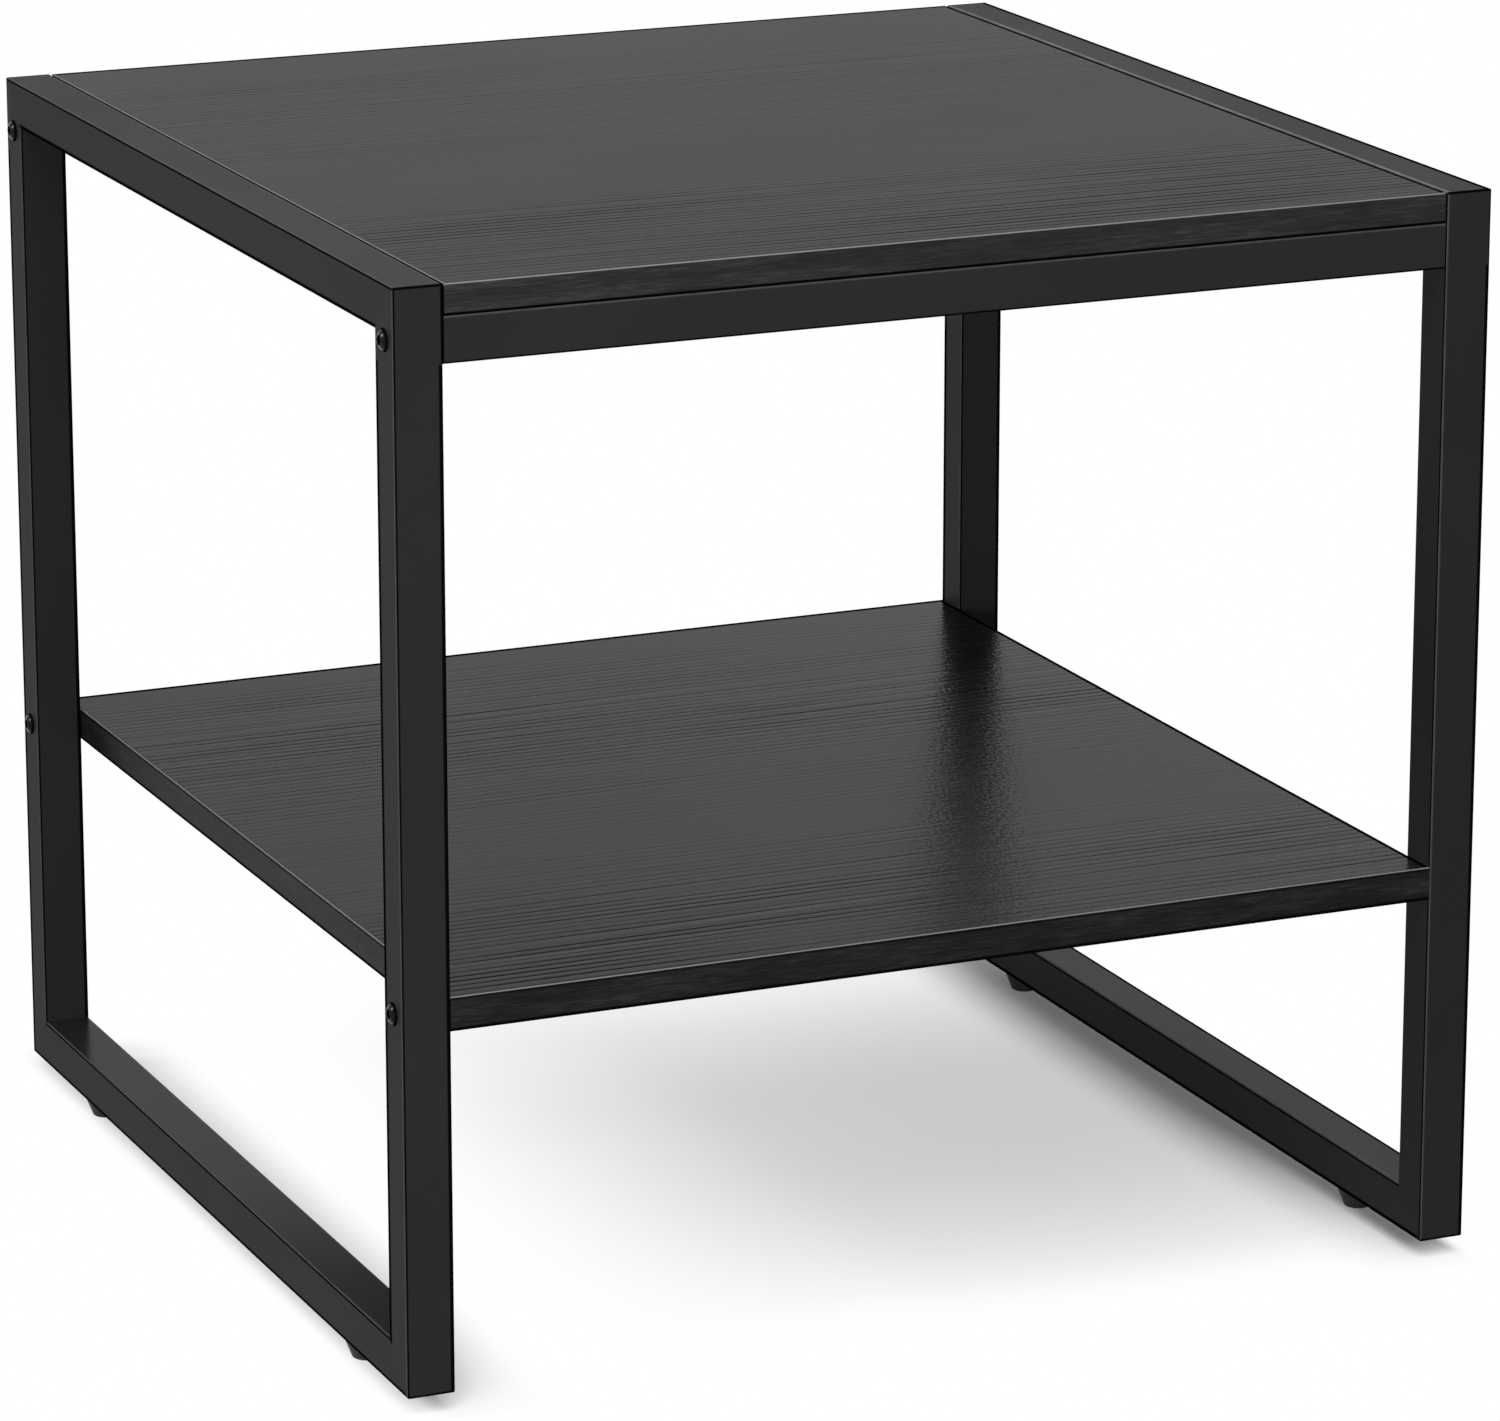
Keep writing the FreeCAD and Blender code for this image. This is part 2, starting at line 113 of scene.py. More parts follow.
class Value:
    """A socket that Python's operators work on: each operator adds one Math node."""

    def __init__(self, graph: "Graph", socket: bpy.types.NodeSocket) -> None:
        """Keeps the socket and the graph that new nodes go to."""
        self.graph = graph
        self.socket = socket

    def math(self, operation: str, *operands: Operand) -> "Value":
        """Adds a Math node.

        Args:
            operation: The node's operation.
            operands: Its inputs, in order.

        Returns:
            The node's output.
        """
        return self.graph.value("ShaderNodeMath", {"operation": operation}, dict(enumerate(operands)))

    def __add__(self, other: Operand) -> "Value":
        """The sum."""
        return self.math("ADD", self, other)

    __radd__ = __add__

    def __sub__(self, other: Operand) -> "Value":
        """The difference."""
        return self.math("SUBTRACT", self, other)

    def __rsub__(self, other: Operand) -> "Value":
        """The difference from a number."""
        return self.math("SUBTRACT", other, self)

    def __mul__(self, other: Operand) -> "Value":
        """The product."""
        return self.math("MULTIPLY", self, other)

    __rmul__ = __mul__

    def __truediv__(self, other: Operand) -> "Value":
        """The quotient."""
        return self.math("DIVIDE", self, other)

    def __rtruediv__(self, other: Operand) -> "Value":
        """A number over this value."""
        return self.math("DIVIDE", other, self)

    def __mod__(self, other: Operand) -> "Value":
        """The remainder, never negative."""
        return self.math("FLOORED_MODULO", self, other)

    def __abs__(self) -> "Value":
        """The size without the sign."""
        return self.math("ABSOLUTE", self)

    def least(self, other: Operand) -> "Value":
        """The smaller of two values."""
        return self.math("MINIMUM", self, other)

    def most(self, other: Operand) -> "Value":
        """The larger of two values."""
        return self.math("MAXIMUM", self, other)

    def sine(self) -> "Value":
        """The sine of an angle."""
        return self.math("SINE", self)

    def cosine(self) -> "Value":
        """The cosine of an angle."""
        return self.math("COSINE", self)

    def floor(self) -> "Value":
        """The whole part."""
        return self.math("FLOOR", self)

    def rising(self, low: float, high: float) -> "Value":
        """A smooth step.

        Args:
            low: Where the step leaves 0.
            high: Where it reaches 1; below low, the step falls instead.

        Returns:
            The step, from 0 to 1.
        """
        settings = {"interpolation_type": "SMOOTHSTEP"}
        ends = {"From Min": min(low, high), "From Max": max(low, high)}
        levels = {"To Min": float(low > high), "To Max": float(low < high)}
        return self.graph.value("ShaderNodeMapRange", settings, {"Value": self, **ends, **levels})


class Graph:
    """A node tree under construction."""

    def __init__(self, tree: bpy.types.NodeTree) -> None:
        """Keeps the tree."""
        self.tree = tree

    @staticmethod
    def socket(sockets: Sequence[bpy.types.NodeSocket], key: Key) -> bpy.types.NodeSocket:
        """Finds a socket.

        Args:
            sockets: A node's inputs or outputs.
            key: The name of a socket in use, or an index.

        Returns:
            The socket.
        """
        if isinstance(key, int):
            return sockets[key]
        return next(socket for socket in sockets if socket.name == key and socket.enabled)

    def feed(self, socket: bpy.types.NodeSocket, given: Any) -> None:
        """Links a socket to a value of the graph, or sets it to a plain value.

        Args:
            socket: The input to feed.
            given: A value of this graph, or what the socket holds.
        """
        if isinstance(given, Value):
            self.tree.links.new(given.socket, socket)
        else:
            socket.default_value = given

    def node(
        self,
        kind: str,
        settings: Optional[Mapping[str, Any]] = None,
        inputs: Optional[Mapping[Key, Any]] = None,
    ) -> bpy.types.Node:
        """Adds one node.

        Args:
            kind: The node's type.
            settings: The node's own settings, which are set first.
            inputs: Values or links of its sockets.

        Returns:
            The node.
        """
        node = self.tree.nodes.new(kind)
        for name, setting in (settings or {}).items():
            setattr(node, name, setting)
        for key, given in (inputs or {}).items():
            self.feed(self.socket(node.inputs, key), given)
        return node

    def value(
        self,
        kind: str,
        settings: Optional[Mapping[str, Any]] = None,
        inputs: Optional[Mapping[Key, Any]] = None,
        output: Key = 0,
    ) -> Value:
        """Adds one node and takes one of its outputs.

        Args:
            kind: The node's type.
            settings: The node's own settings, which are set first.
            inputs: Values or links of its sockets.
            output: The output to take.

        Returns:
            The output.
        """
        node = self.node(kind, settings, inputs)
        return Value(self, self.socket(node.outputs, output))

    def vector(self, x: Operand, y: Operand, z: Operand) -> Value:
        """A vector of three values."""
        return self.value("ShaderNodeCombineXYZ", inputs={"X": x, "Y": y, "Z": z})

    def parts(self, vector: Value) -> List[Value]:
        """The three values of a vector."""
        split = self.node("ShaderNodeSeparateXYZ", inputs={0: vector})
        return [Value(self, output) for output in split.outputs]


class SurfaceGraph(Graph):
    """The node tree of a surface, with what the finishes share."""

    # The tone of the painted black that stands in for shade in dark lines and rims.
    BLACK_TONE = 0.0015

    def __init__(self, name: str) -> None:
        """Starts an empty material.

        Args:
            name: The material's name.
        """
        self.material = bpy.data.materials.new(name)
        self.material.use_nodes = True
        super().__init__(self.material.node_tree)
        self.tree.nodes.clear()
        self.place = self.value("ShaderNodeTexCoord", output="Object")
        self.x, self.y, self.z = self.parts(self.place)

    def noise(self, place: Value, scale: float, detail: float = 2.0, roughness: float = 0.5) -> Value:
        """Smooth noise about 0.

        Args:
            place: Where to read it.
            scale: Features for each unit of length.
            detail: How many finer layers it has.
            roughness: How strong those are.

        Returns:
            The noise, from about -0.5 to 0.5.
        """
        inputs = {"Vector": place, "Scale": scale, "Detail": detail, "Roughness": roughness}
        return self.value("ShaderNodeTexNoise", inputs=inputs) - 0.5

    def blend(self, factor: Value, tone: float, other: float) -> Value:
        """A grey between two greys.

        Args:
            factor: 0 for the first grey, 1 for the second.
            tone: The first grey, in linear light.
            other: The second grey.

        Returns:
            The colour.
        """
        inputs = {"Factor": factor, "A": grey(tone), "B": grey(other)}
        return self.value("ShaderNodeMix", {"data_type": "RGBA"}, inputs, "Result")

    def relief(self, height: Value) -> Value:
        """The normal of a surface with a height in metres."""
        return self.value("ShaderNodeBump", inputs={"Height": height, "Distance": 1.0})

    def leaning_relief(self, height: Value, lean: Value, slant: float) -> Value:
        """The normal of a surface with a height and with facets that lean to one side or the other.

        Args:
            height: The height, in metres.
            lean: The slope of the facets.
            slant: The angle between X and the way that they lean, in degrees.

        Returns:
            The normal.
        """
        flat = self.value("ShaderNodeNewGeometry", output="Normal")
        along_x, along_y = math.cos(math.radians(slant)), math.sin(math.radians(slant))
        steps = {0: flat, 1: self.vector(lean * along_x, lean * along_y, 0.0)}
        leant = self.value("ShaderNodeVectorMath", {"operation": "ADD"}, steps)
        normal = self.value("ShaderNodeVectorMath", {"operation": "NORMALIZE"}, {0: leant})
        return self.value("ShaderNodeBump", inputs={"Height": height, "Distance": 1.0, "Normal": normal})

    def overlay(self, factor: Value, under: Value, tone: float) -> Value:
        """A grey laid over a colour.

        Args:
            factor: How much of the grey shows.
            under: The colour below.
            tone: The grey, in linear light.

        Returns:
            The colour.
        """
        inputs = {"Factor": factor, "A": under, "B": grey(tone)}
        return self.value("ShaderNodeMix", {"data_type": "RGBA"}, inputs, "Result")

    def inside(self, box: "Box") -> Tuple[Value, Value, Value]:
        """How deep a point lies in a bar.

        Args:
            box: The bar.

        Returns:
            The depth below its ends, and below the two pairs of its long faces.
        """
        axes = zip((self.x, self.y, self.z), box.middle, box.half)
        depths = [half - abs(axis - middle) for axis, middle, half in axes]
        ends = depths.pop(box.long_axis)
        return ends, depths[0], depths[1]

    def shaded(self, inputs: Mapping[Key, Any], black: Optional[Value] = None) -> bpy.types.Material:
        """Ends the tree in a shader.

        Args:
            inputs: What the shader's sockets take.
            black: Where painted black stands in for shade, so the surface is black and mirrors nothing, from 0
                to 1.

        Returns:
            The finished material.
        """
        shader = self.value("ShaderNodeBsdfPrincipled", inputs=inputs)
        if black is not None:
            # A matt black shader mixed in as painted shade.
            matt = {"Base Color": grey(self.BLACK_TONE), "Roughness": 1.0, "Specular IOR Level": 0.0}
            dull = self.value("ShaderNodeBsdfPrincipled", inputs=matt)
            shader = self.value("ShaderNodeMixShader", inputs={0: black, 1: shader, 2: dull})
        self.node("ShaderNodeOutputMaterial", inputs={"Surface": shader})
        return self.material


@dataclass(frozen=True)
class Box:
    """The upright box round a bar, by two of its corners."""

    low: Corner
    high: Corner

    @classmethod
    def of(cls, node: str) -> "Box":
        """The box of a node of the frame."""
        low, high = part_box(node)
        return cls(tuple(low), tuple(high))

    @property
    def middle(self) -> Corner:
        """Its middle."""
        return tuple((a + b) / 2 for a, b in zip(self.low, self.high))

    @property
    def half(self) -> Corner:
        """Half its size."""
        return tuple((b - a) / 2 for a, b in zip(self.low, self.high))

    @property
    def long_axis(self) -> int:
        """The axis that it is longest along."""
        return self.half.index(max(self.half))


def grey(tone: float) -> Tuple[float, float, float, float]:
    """A grey in linear light as a colour."""
    return (tone, tone, tone, 1.0)


@dataclass(frozen=True)
class Finish:
    """How a surface looks, and the record's slot that it belongs to."""

    name: str
    slot: str

    def material(self) -> bpy.types.Material:
        """The finish as a material, made when it is first asked for."""
        return bpy.data.materials.get(self.name) or self.paint(SurfaceGraph(self.name))

    def paint(self, graph: SurfaceGraph) -> bpy.types.Material:
        """Builds the material; each finish has its own way."""
        raise NotImplementedError


@dataclass(frozen=True)
class CoatedSteel(Finish):
    """Satin black powder coat on one tube, with painted highlights along some of its long edges, painted dark
    lines of shade along the others and painted shade at its ends.

    line_core is the share of a line's width that has its full strength, and seam_from the height above which
    the painted dark lines of shade are narrow.
    """

    slot: str = "black_coated_steel"
    box: Box = Box((0.0, 0.0, 0.0), (0.0, 0.0, 0.0))
    rims: Rims = Rims.LEFT_FACE
    tone: float = 0.0125
    cloud_tone: float = 0.0145
    # Tones and widths of the painted highlights along the light rims and corners, and widths of the painted
    # dark lines of shade along the dark rims and outlines.
    light_rim_tone: float = 0.045
    light_corner_tone: float = 0.12
    light_rim_width: float = 0.0015
    light_corner_width: float = 0.0026
    dark_rim_width: float = 0.0013
    outline_width: float = 0.0024
    line_core: float = 0.65
    # How wide the painted shade at a crossbar's ends is, as a share of a dark rim's width.
    crossbar_end_share: float = 0.55
    edge_blur: Tuple[float, float] = (-0.0001, 0.0002)
    face_blur: float = 0.0005
    slanting: float = 0.7
    seam_from: float = 1.0
    roughness: float = 0.45
    side_roughness: float = 0.52
    light_rim_roughness: float = 0.36
    cloud_roughness: float = 0.05
    specular: float = 0.06
    cloud_scale: float = 9.0
    # Scale of the noise that breaks up the painted highlights.
    highlight_breakup_scale: float = 60.0
    peel_scale: float = 520.0
    peel_height: float = 0.000003

    def on_light_face(self, graph: SurfaceGraph) -> Tuple[Value, Value]:
        """Tells the two faces at each long edge apart.

        Args:
            graph: The material.

        Returns:
            How far a point lies from the edge, above 0 on the face whose rim gets the painted highlight and
            below 0 on the face whose rim gets painted shade, and a value above 0 where the painted highlight
            may show.
        """
        _, one, other = graph.inside(self.box)
        x, y, z = self.box.middle
        leftwards, upwards = x - graph.x, graph.z - z
        if self.rims is Rims.LEFT_FACE:
            return other - one, leftwards.least(y - graph.y)
        if self.rims is Rims.FRONT_CORNER:
            return one - other, leftwards
        if self.rims is Rims.UPPER_CORNER:
            return one - other + self.light_rim_width / 6, leftwards.least(upwards)
        if self.rims is Rims.UPPER_FACE:
            return one - other, upwards
        return other - one, upwards

    def rim_masks(self, graph: SurfaceGraph) -> Tuple[Value, Value, Value]:
        """Where the coat has painted highlights, where it has painted dark lines of shade and where it is
        rougher.

        Args:
            graph: The material.

        Returns:
            Three masks from 0 to 1: the painted highlights, the painted shade along edges and at the ends, and
                the faces at the tube's sides.
        """
        from_edge, lit_side = self.on_light_face(graph)
        lit = lit_side.rising(-self.face_blur, self.face_blur)
        on_light = from_edge.rising(*self.edge_blur)
        if self.rims is Rims.UPPER_CORNER:
            width, core = self.light_corner_width, self.light_corner_width * self.line_core
        else:
            width, core = self.light_rim_width, self.light_rim_width / 3
        # The painted highlight along the edge on the lit face.
        light = on_light * from_edge.rising(width, core) * lit
        # Painted dark lines of shade along the edges, narrow on the lit face and above seam_from and wider
        # elsewhere, and painted shade at the tube's ends.
        seam = abs(from_edge).rising(self.dark_rim_width, self.dark_rim_width / 2)
        slanting = 1.0 - on_light if self.rims is Rims.FRONT_CORNER else on_light
        spread = 1.0 + slanting * self.slanting
        outline = (abs(from_edge) / spread).rising(self.outline_width, self.outline_width * self.line_core)
        narrow = lit.most(graph.z.rising(self.seam_from - self.face_blur, self.seam_from + self.face_blur))
        dark = (outline + narrow * (seam - outline)) * (1.0 - lit * on_light)
        ends, _, _ = graph.inside(self.box)
        end_width = self.dark_rim_width
        if self.rims is Rims.FRONT_FACE:
            end_width = end_width * self.crossbar_end_share
        sides = on_light if self.rims is Rims.LEFT_FACE else 1.0 - on_light
        return light, dark.most(ends.rising(end_width, end_width / 2)), sides

    def paint(self, graph: SurfaceGraph) -> bpy.types.Material:
        """Builds the coat.

        Args:
            graph: The empty material.

        Returns:
            The finished material.
        """
        clouds = graph.noise(graph.place, self.cloud_scale, 3.0).rising(-0.2, 0.25)
        # Noise that breaks up the painted highlights.
        highlight_breakup = graph.noise(graph.place, self.highlight_breakup_scale, 4.0, 0.65).rising(-0.25, 0.15)
        light, dark, sides = self.rim_masks(graph)
        # The painted highlight is laid over the coat's random clouds of tone, and the painted shade lines are
        # drawn black.
        painted_highlight = light * (0.55 + highlight_breakup * 0.45)
        rim_tone = self.light_corner_tone if self.rims is Rims.UPPER_CORNER else self.light_rim_tone
        colour = graph.overlay(painted_highlight, graph.blend(clouds, self.tone, self.cloud_tone), rim_tone)
        matt = self.roughness + sides * (self.side_roughness - self.roughness)
        matt = matt + (clouds - 0.5) * self.cloud_roughness
        peel = graph.noise(graph.place, self.peel_scale, 1.0) * self.peel_height
        inputs = {
            "Base Color": colour,
            "Roughness": matt - painted_highlight * (self.roughness - self.light_rim_roughness),
            "Specular IOR Level": self.specular,
            "Normal": graph.relief(peel),
        }
        return graph.shaded(inputs, dark)


@dataclass(frozen=True)
class WoodGrainFoil(Finish):
    """Black foil with a pressed wood grain whose lines run along X, in bands that are bold or calm.

    Lines, waves, facets, fine streaks and pores lie over each other, each with its own length and width. The
    fields calm and rear say how bold the grain is away from the front, and the borders are painted dark lines
    of shade along the right and rear edges. The fields that end in shade say how much each layer lightens or
    darkens the tone.
    """

    slot: str = "black_wood_grain_board"
    box: Box = Box((0.0, 0.0, 0.0), (0.0, 0.0, 0.0))
    # Widths of the painted dark lines of shade along the right and rear edges.
    border_right: float = 0.0016
    border_rear: float = 0.0028
    seed: float = 0.0
    tone: float = 0.001
    light_tone: float = 0.029
    roughness: float = 0.27
    roughness_slope: float = 0.0
    specular: float = 0.034
    calm: float = 0.20
    rear: float = 0.60
    wander: float = 0.009
    line_spacing: float = 0.0056
    line_length: float = 0.22
    line_depth: float = 0.00022
    line_roughness: float = 0.30
    wave_length: float = 0.30
    wave_spacing: float = 0.0050
    wave_depth: float = 0.00022
    facet_length: float = 0.0013
    facet_width: float = 0.0024
    facet_lean: float = 0.32
    facet_slant: float = -24.0
    fine_length: float = 0.05
    fine_spacing: float = 0.0013
    fine_depth: float = 0.00003
    pore_length: float = 0.012
    pore_width: float = 0.0006
    pore_depth: float = 0.00002
    bold_front: Tuple[float, float] = (-0.09, -0.18)
    bold_rear: Tuple[float, float] = (0.11, 0.13)
    patch_stretch: Tuple[float, float] = (4.0, 11.0)
    patch_floor: float = 0.40
    drift_stretch: Tuple[float, float] = (3.0, 9.0)
    smudge_scale: float = 5.0
    smudge_roughness: float = 0.06
    fine_roughness: float = 0.05
    base_shade: float = 0.40
    facet_shade: float = 0.5
    fine_shade: float = 0.6
    wave_shade: float = 0.8
    line_shade: float = 0.5
    pore_shade: float = 0.4

    def stretched(self, graph: SurfaceGraph, stretch: Tuple[float, float], shift: float) -> Value:
        """A place to read noise at that varies at its own rates along X and Y."""
        return graph.vector(graph.x * stretch[0], graph.y * stretch[1], self.seed + shift)

    def bands(self, graph: SurfaceGraph) -> Value:
        """Where the grain is bold.

        Args:
            graph: The material.

        Returns:
            The boldness, from almost 0 to 1.
        """
        front = graph.y.rising(*self.bold_front)
        middle, reach = self.bold_rear
        rear = abs(graph.y - middle).rising(reach, reach / 3)
        patches = graph.noise(self.stretched(graph, self.patch_stretch, 7.0), 1.0).rising(-0.2, 0.2)
        boldness = self.calm + front * (1.0 - self.calm) + rear * self.rear
        return boldness * (self.patch_floor + patches * (1.0 - self.patch_floor))

    def pressed_lines(self, graph: SurfaceGraph, across: Value) -> Value:
        """The pressed lines, side by side, each with deep and shallow stretches.

        Args:
            graph: The material.
            across: The place across the grain.

        Returns:
            The depth, 0 between the lines and up to 1 in them.
        """
        phase = across / self.line_spacing
        line = phase.floor()
        valley = (1.0 - abs((phase - line) * 2.0 - 1.0)).rising(0.50, 1.0)
        strength = graph.noise(graph.vector(graph.x / self.line_length, line * 5.3, self.seed + 4.0), 1.0)
        return valley * strength.rising(-0.26, 0.24)

    def streaks(
        self, graph: SurfaceGraph, across: Value, length: float, width: float, shift: float
    ) -> Value:
        """Noise drawn out along the grain.

        Args:
            graph: The material.
            across: The place across the grain.
            length: How long a streak is.
            width: How wide it is.
            shift: Where in the noise it is read.

        Returns:
            The noise about 0.
        """
        place = graph.vector(graph.x / length, across / width, self.seed + shift)
        return graph.noise(place, 1.0, 1.5)

    @staticmethod
    def border(from_edge: Value, width: float) -> Value:
        """A painted dark line of shade along an edge, with a soft inner side."""
        return from_edge.rising(width * 1.2, width * 0.7)

    def paint(self, graph: SurfaceGraph) -> bpy.types.Material:
        """Builds the foil.

        Args:
            graph: The empty material.

        Returns:
            The finished material.
        """
        drift = graph.noise(self.stretched(graph, self.drift_stretch, 0.0), 1.0)
        across = graph.y + drift * self.wander
        bands = self.bands(graph)
        lines = self.pressed_lines(graph, across) * bands
        waves = self.streaks(graph, across, self.wave_length, self.wave_spacing, 1.0) * bands
        fine = self.streaks(graph, across, self.fine_length, self.fine_spacing, 2.0)
        facets = self.streaks(graph, across, self.facet_length, self.facet_width, 5.0)
        pores = self.streaks(graph, across, self.pore_length, self.pore_width, 3.0).rising(0.12, 0.26)
        smudges = graph.noise(graph.place, self.smudge_scale, 3.0)
        relief = waves * self.wave_depth - lines * self.line_depth
        height = relief + fine * self.fine_depth - pores * self.pore_depth
        mottle = self.base_shade + facets * self.facet_shade + fine * self.fine_shade
        mottle = mottle + waves * self.wave_shade
        shade = (mottle - lines * self.line_shade - pores * self.pore_shade).rising(0.0, 1.0)
        matt = self.roughness + smudges * self.smudge_roughness - graph.x * self.roughness_slope
        inputs = {
            "Base Color": graph.blend(shade, self.tone, self.light_tone),
            "Roughness": matt + fine * self.fine_roughness + lines * self.line_roughness,
            "Specular IOR Level": self.specular,
            "Normal": graph.leaning_relief(height, facets * self.facet_lean, self.facet_slant),
        }
        # Painted dark lines of shade along the right and rear edges, drawn black.
        right = self.border(self.box.high[0] - graph.x, self.border_right)
        rear = self.border(self.box.high[1] - graph.y, self.border_rear)
        return graph.shaded(inputs, right.most(rear))


@dataclass(frozen=True)
class EdgeStripGrain(Finish):
    """The glued strip on a board's edge: black, with a cloudy fibre grain along the strip.

    A strip may have a painted highlight along its upper edge, with a painted dark line of shade of the
    strength under_line below it. A hidden one lies against a rail, and all of its outer face is painted dark
    as shade.
    """

    slot: str = "black_wood_grain_strip"
    box: Box = Box((0.0, 0.0, 0.0), (0.0, 0.0, 0.0))
    run: Run = Run.ALONG_X
    # Whether the strip has a painted highlight along its upper edge, and whether it lies against a rail with
    # its outer face painted dark as shade.
    painted_highlight: bool = True
    hidden: bool = False
    tone: float = 0.012
    light_tone: float = 0.022
    # The tone of the painted highlight.
    painted_highlight_tone: float = 0.085
    edge_width: float = 0.0006
    # The strength of the painted dark line of shade under the highlight, and the width of the painted dark
    # lines of shade along the strip's edges.
    under_line: float = 0.0
    seam_width: float = 0.0013
    roughness: float = 0.38
    specular: float = 0.03
    cloud_length: float = 0.060
    cloud_width: float = 0.0060
    fibre_length: float = 0.012
    fibre_width: float = 0.0007
    fibre_depth: float = 0.00003
    base_shade: float = 0.36
    cloud_shade: float = 1.1
    fibre_shade: float = 1.2
    speckle_shade: float = 0.6
    cloud_roughness: float = 0.08
    painted_highlight_roughness: float = 0.08

    def drawn_out(self, graph: SurfaceGraph, length: float, width: float) -> Value:
        """Noise drawn out along the strip.

        Args:
            graph: The material.
            length: How long a streak is.
            width: How wide it is.

        Returns:
            The noise about 0.
        """
        along, aside = (graph.x, graph.y) if self.run is Run.ALONG_X else (graph.y, graph.x)
        place = graph.vector(along / length, graph.z / width, aside / width)
        return graph.noise(place, 1.0, 3.0, 0.6)

    def below_face(self, graph: SurfaceGraph) -> Value:
        """How deep a point lies below the strip's outer face."""
        axis, index = (graph.y, 1) if self.run is Run.ALONG_X else (graph.x, 0)
        return abs(axis) * -1.0 + max(abs(self.box.low[index]), abs(self.box.high[index]))

    def paint(self, graph: SurfaceGraph) -> bpy.types.Material:
        """Builds the strip.

        Args:
            graph: The empty material.

        Returns:
            The finished material.
        """
        clouds = self.drawn_out(graph, self.cloud_length, self.cloud_width)
        fibres = self.drawn_out(graph, self.fibre_length, self.fibre_width)
        below, above = graph.z - self.box.low[2], self.box.high[2] - graph.z
        from_edge = self.below_face(graph) - above
        width = self.edge_width
        edge = from_edge.rising(-width, -width / 2) * from_edge.rising(width, width / 2)
        # The painted highlight along the upper edge.
        painted_highlight = edge * float(self.painted_highlight)
        # Painted dark lines of shade: along the lower edge, under the highlight, along the upper edge of a
        # strip without the highlight, and over the outer face of a strip against a rail.
        painted_seam_shade = below.rising(self.seam_width, self.seam_width / 2)
        if self.painted_highlight:
            under = from_edge.rising(-width * 3.0, -width * 2.2) * from_edge.rising(-width, -width * 1.5)
            painted_seam_shade = painted_seam_shade.most(under * self.under_line)
        else:
            painted_seam_shade = painted_seam_shade.most(above.rising(self.seam_width, self.seam_width / 2))
        if self.hidden:
            painted_seam_shade = painted_seam_shade.most(from_edge.rising(-width / 4, -width / 2))
        speckle = clouds.rising(-0.10, 0.16) * fibres.rising(0.02, 0.20)
        grain = self.base_shade + clouds * self.cloud_shade + fibres * self.fibre_shade
        shade = (grain + speckle * self.speckle_shade).rising(0.0, 1.0)
        # The painted highlight is laid over the grain.
        body = graph.overlay(painted_highlight, graph.blend(shade, self.tone, self.light_tone), self.painted_highlight_tone)
        matt = self.roughness + clouds * self.cloud_roughness - painted_highlight * self.painted_highlight_roughness
        inputs = {
            "Base Color": body,
            "Roughness": matt,
            "Specular IOR Level": self.specular,
            "Normal": graph.relief(fibres * self.fibre_depth),
        }
        return graph.shaded(inputs, painted_seam_shade)


@dataclass(frozen=True)
class DarkSteel(Finish):
    """Blackened steel of the bolts: dark metal with a fine grain, and a ring of painted black shade round the
    heads' rims.
    """

    slot: str = "black_bolt_steel"
    axis: Tuple[float, float] = (0.0, 0.0)
    tone: float = 0.010
    light_tone: float = 0.018
    # Where the ring of painted black shade round a head's rim starts and where it is full, as radii from the
    # axis.
    rim_radius: Tuple[float, float] = (0.0039, 0.0045)
    roughness: float = 0.22
    mottle_scale: float = 350.0
    mottle_shade: float = 1.6
    mottle_roughness: float = 0.12
    grain_scale: float = 900.0
    grain_height: float = 0.000002

    def paint(self, graph: SurfaceGraph) -> bpy.types.Material:
        """Builds the steel.

        Args:
            graph: The empty material.

        Returns:
            The finished material.
        """
        mottle = graph.noise(graph.place, self.mottle_scale, 3.0, 0.6)
        grain = graph.noise(graph.place, self.grain_scale, 2.0)
        shade = (0.5 + mottle * self.mottle_shade).rising(0.0, 1.0)
        # A ring of painted black shade round each head's rim, in place of its reflection.
        off_y, off_z = abs(graph.y) - self.axis[0], graph.z - self.axis[1]
        rim = (off_y * off_y + off_z * off_z).rising(self.rim_radius[0] ** 2, self.rim_radius[1] ** 2)
        inputs = {
            "Base Color": graph.blend(shade, self.tone, self.light_tone),
            "Roughness": self.roughness + mottle * self.mottle_roughness,
            "Metallic": 1.0,
            "Normal": graph.relief(grain * self.grain_height),
        }
        return graph.shaded(inputs, rim)


@dataclass(frozen=True)
class ZincPlate(Finish):
    """Bright zinc on the nuts, plates and screws inside, with pale spangles."""

    slot: str = "zinc_plated_steel"
    tone: float = 0.36
    light_tone: float = 0.52
    roughness: float = 0.34
    spangle_scale: float = 420.0
    spangle_shade: float = 0.5
    base_shade: float = 0.3
    mottle_scale: float = 160.0
    mottle_roughness: float = 0.2
    grain_height: float = 0.000002

    def paint(self, graph: SurfaceGraph) -> bpy.types.Material:
        """Builds the plating.

        Args:
            graph: The empty material.

        Returns:
            The finished material.
        """
        inputs = {"Vector": graph.place, "Scale": self.spangle_scale}
        spangles = graph.value("ShaderNodeTexVoronoi", inputs=inputs, output="Distance")
        mottle = graph.noise(graph.place, self.mottle_scale, 3.0)
        shade = (self.base_shade + spangles * self.spangle_shade + mottle).rising(0.0, 1.0)
        return graph.shaded({
            "Base Color": graph.blend(shade, self.tone, self.light_tone),
            "Roughness": self.roughness + mottle * self.mottle_roughness,
            "Metallic": 1.0,
            "Normal": graph.relief(spangles * self.grain_height),
        })


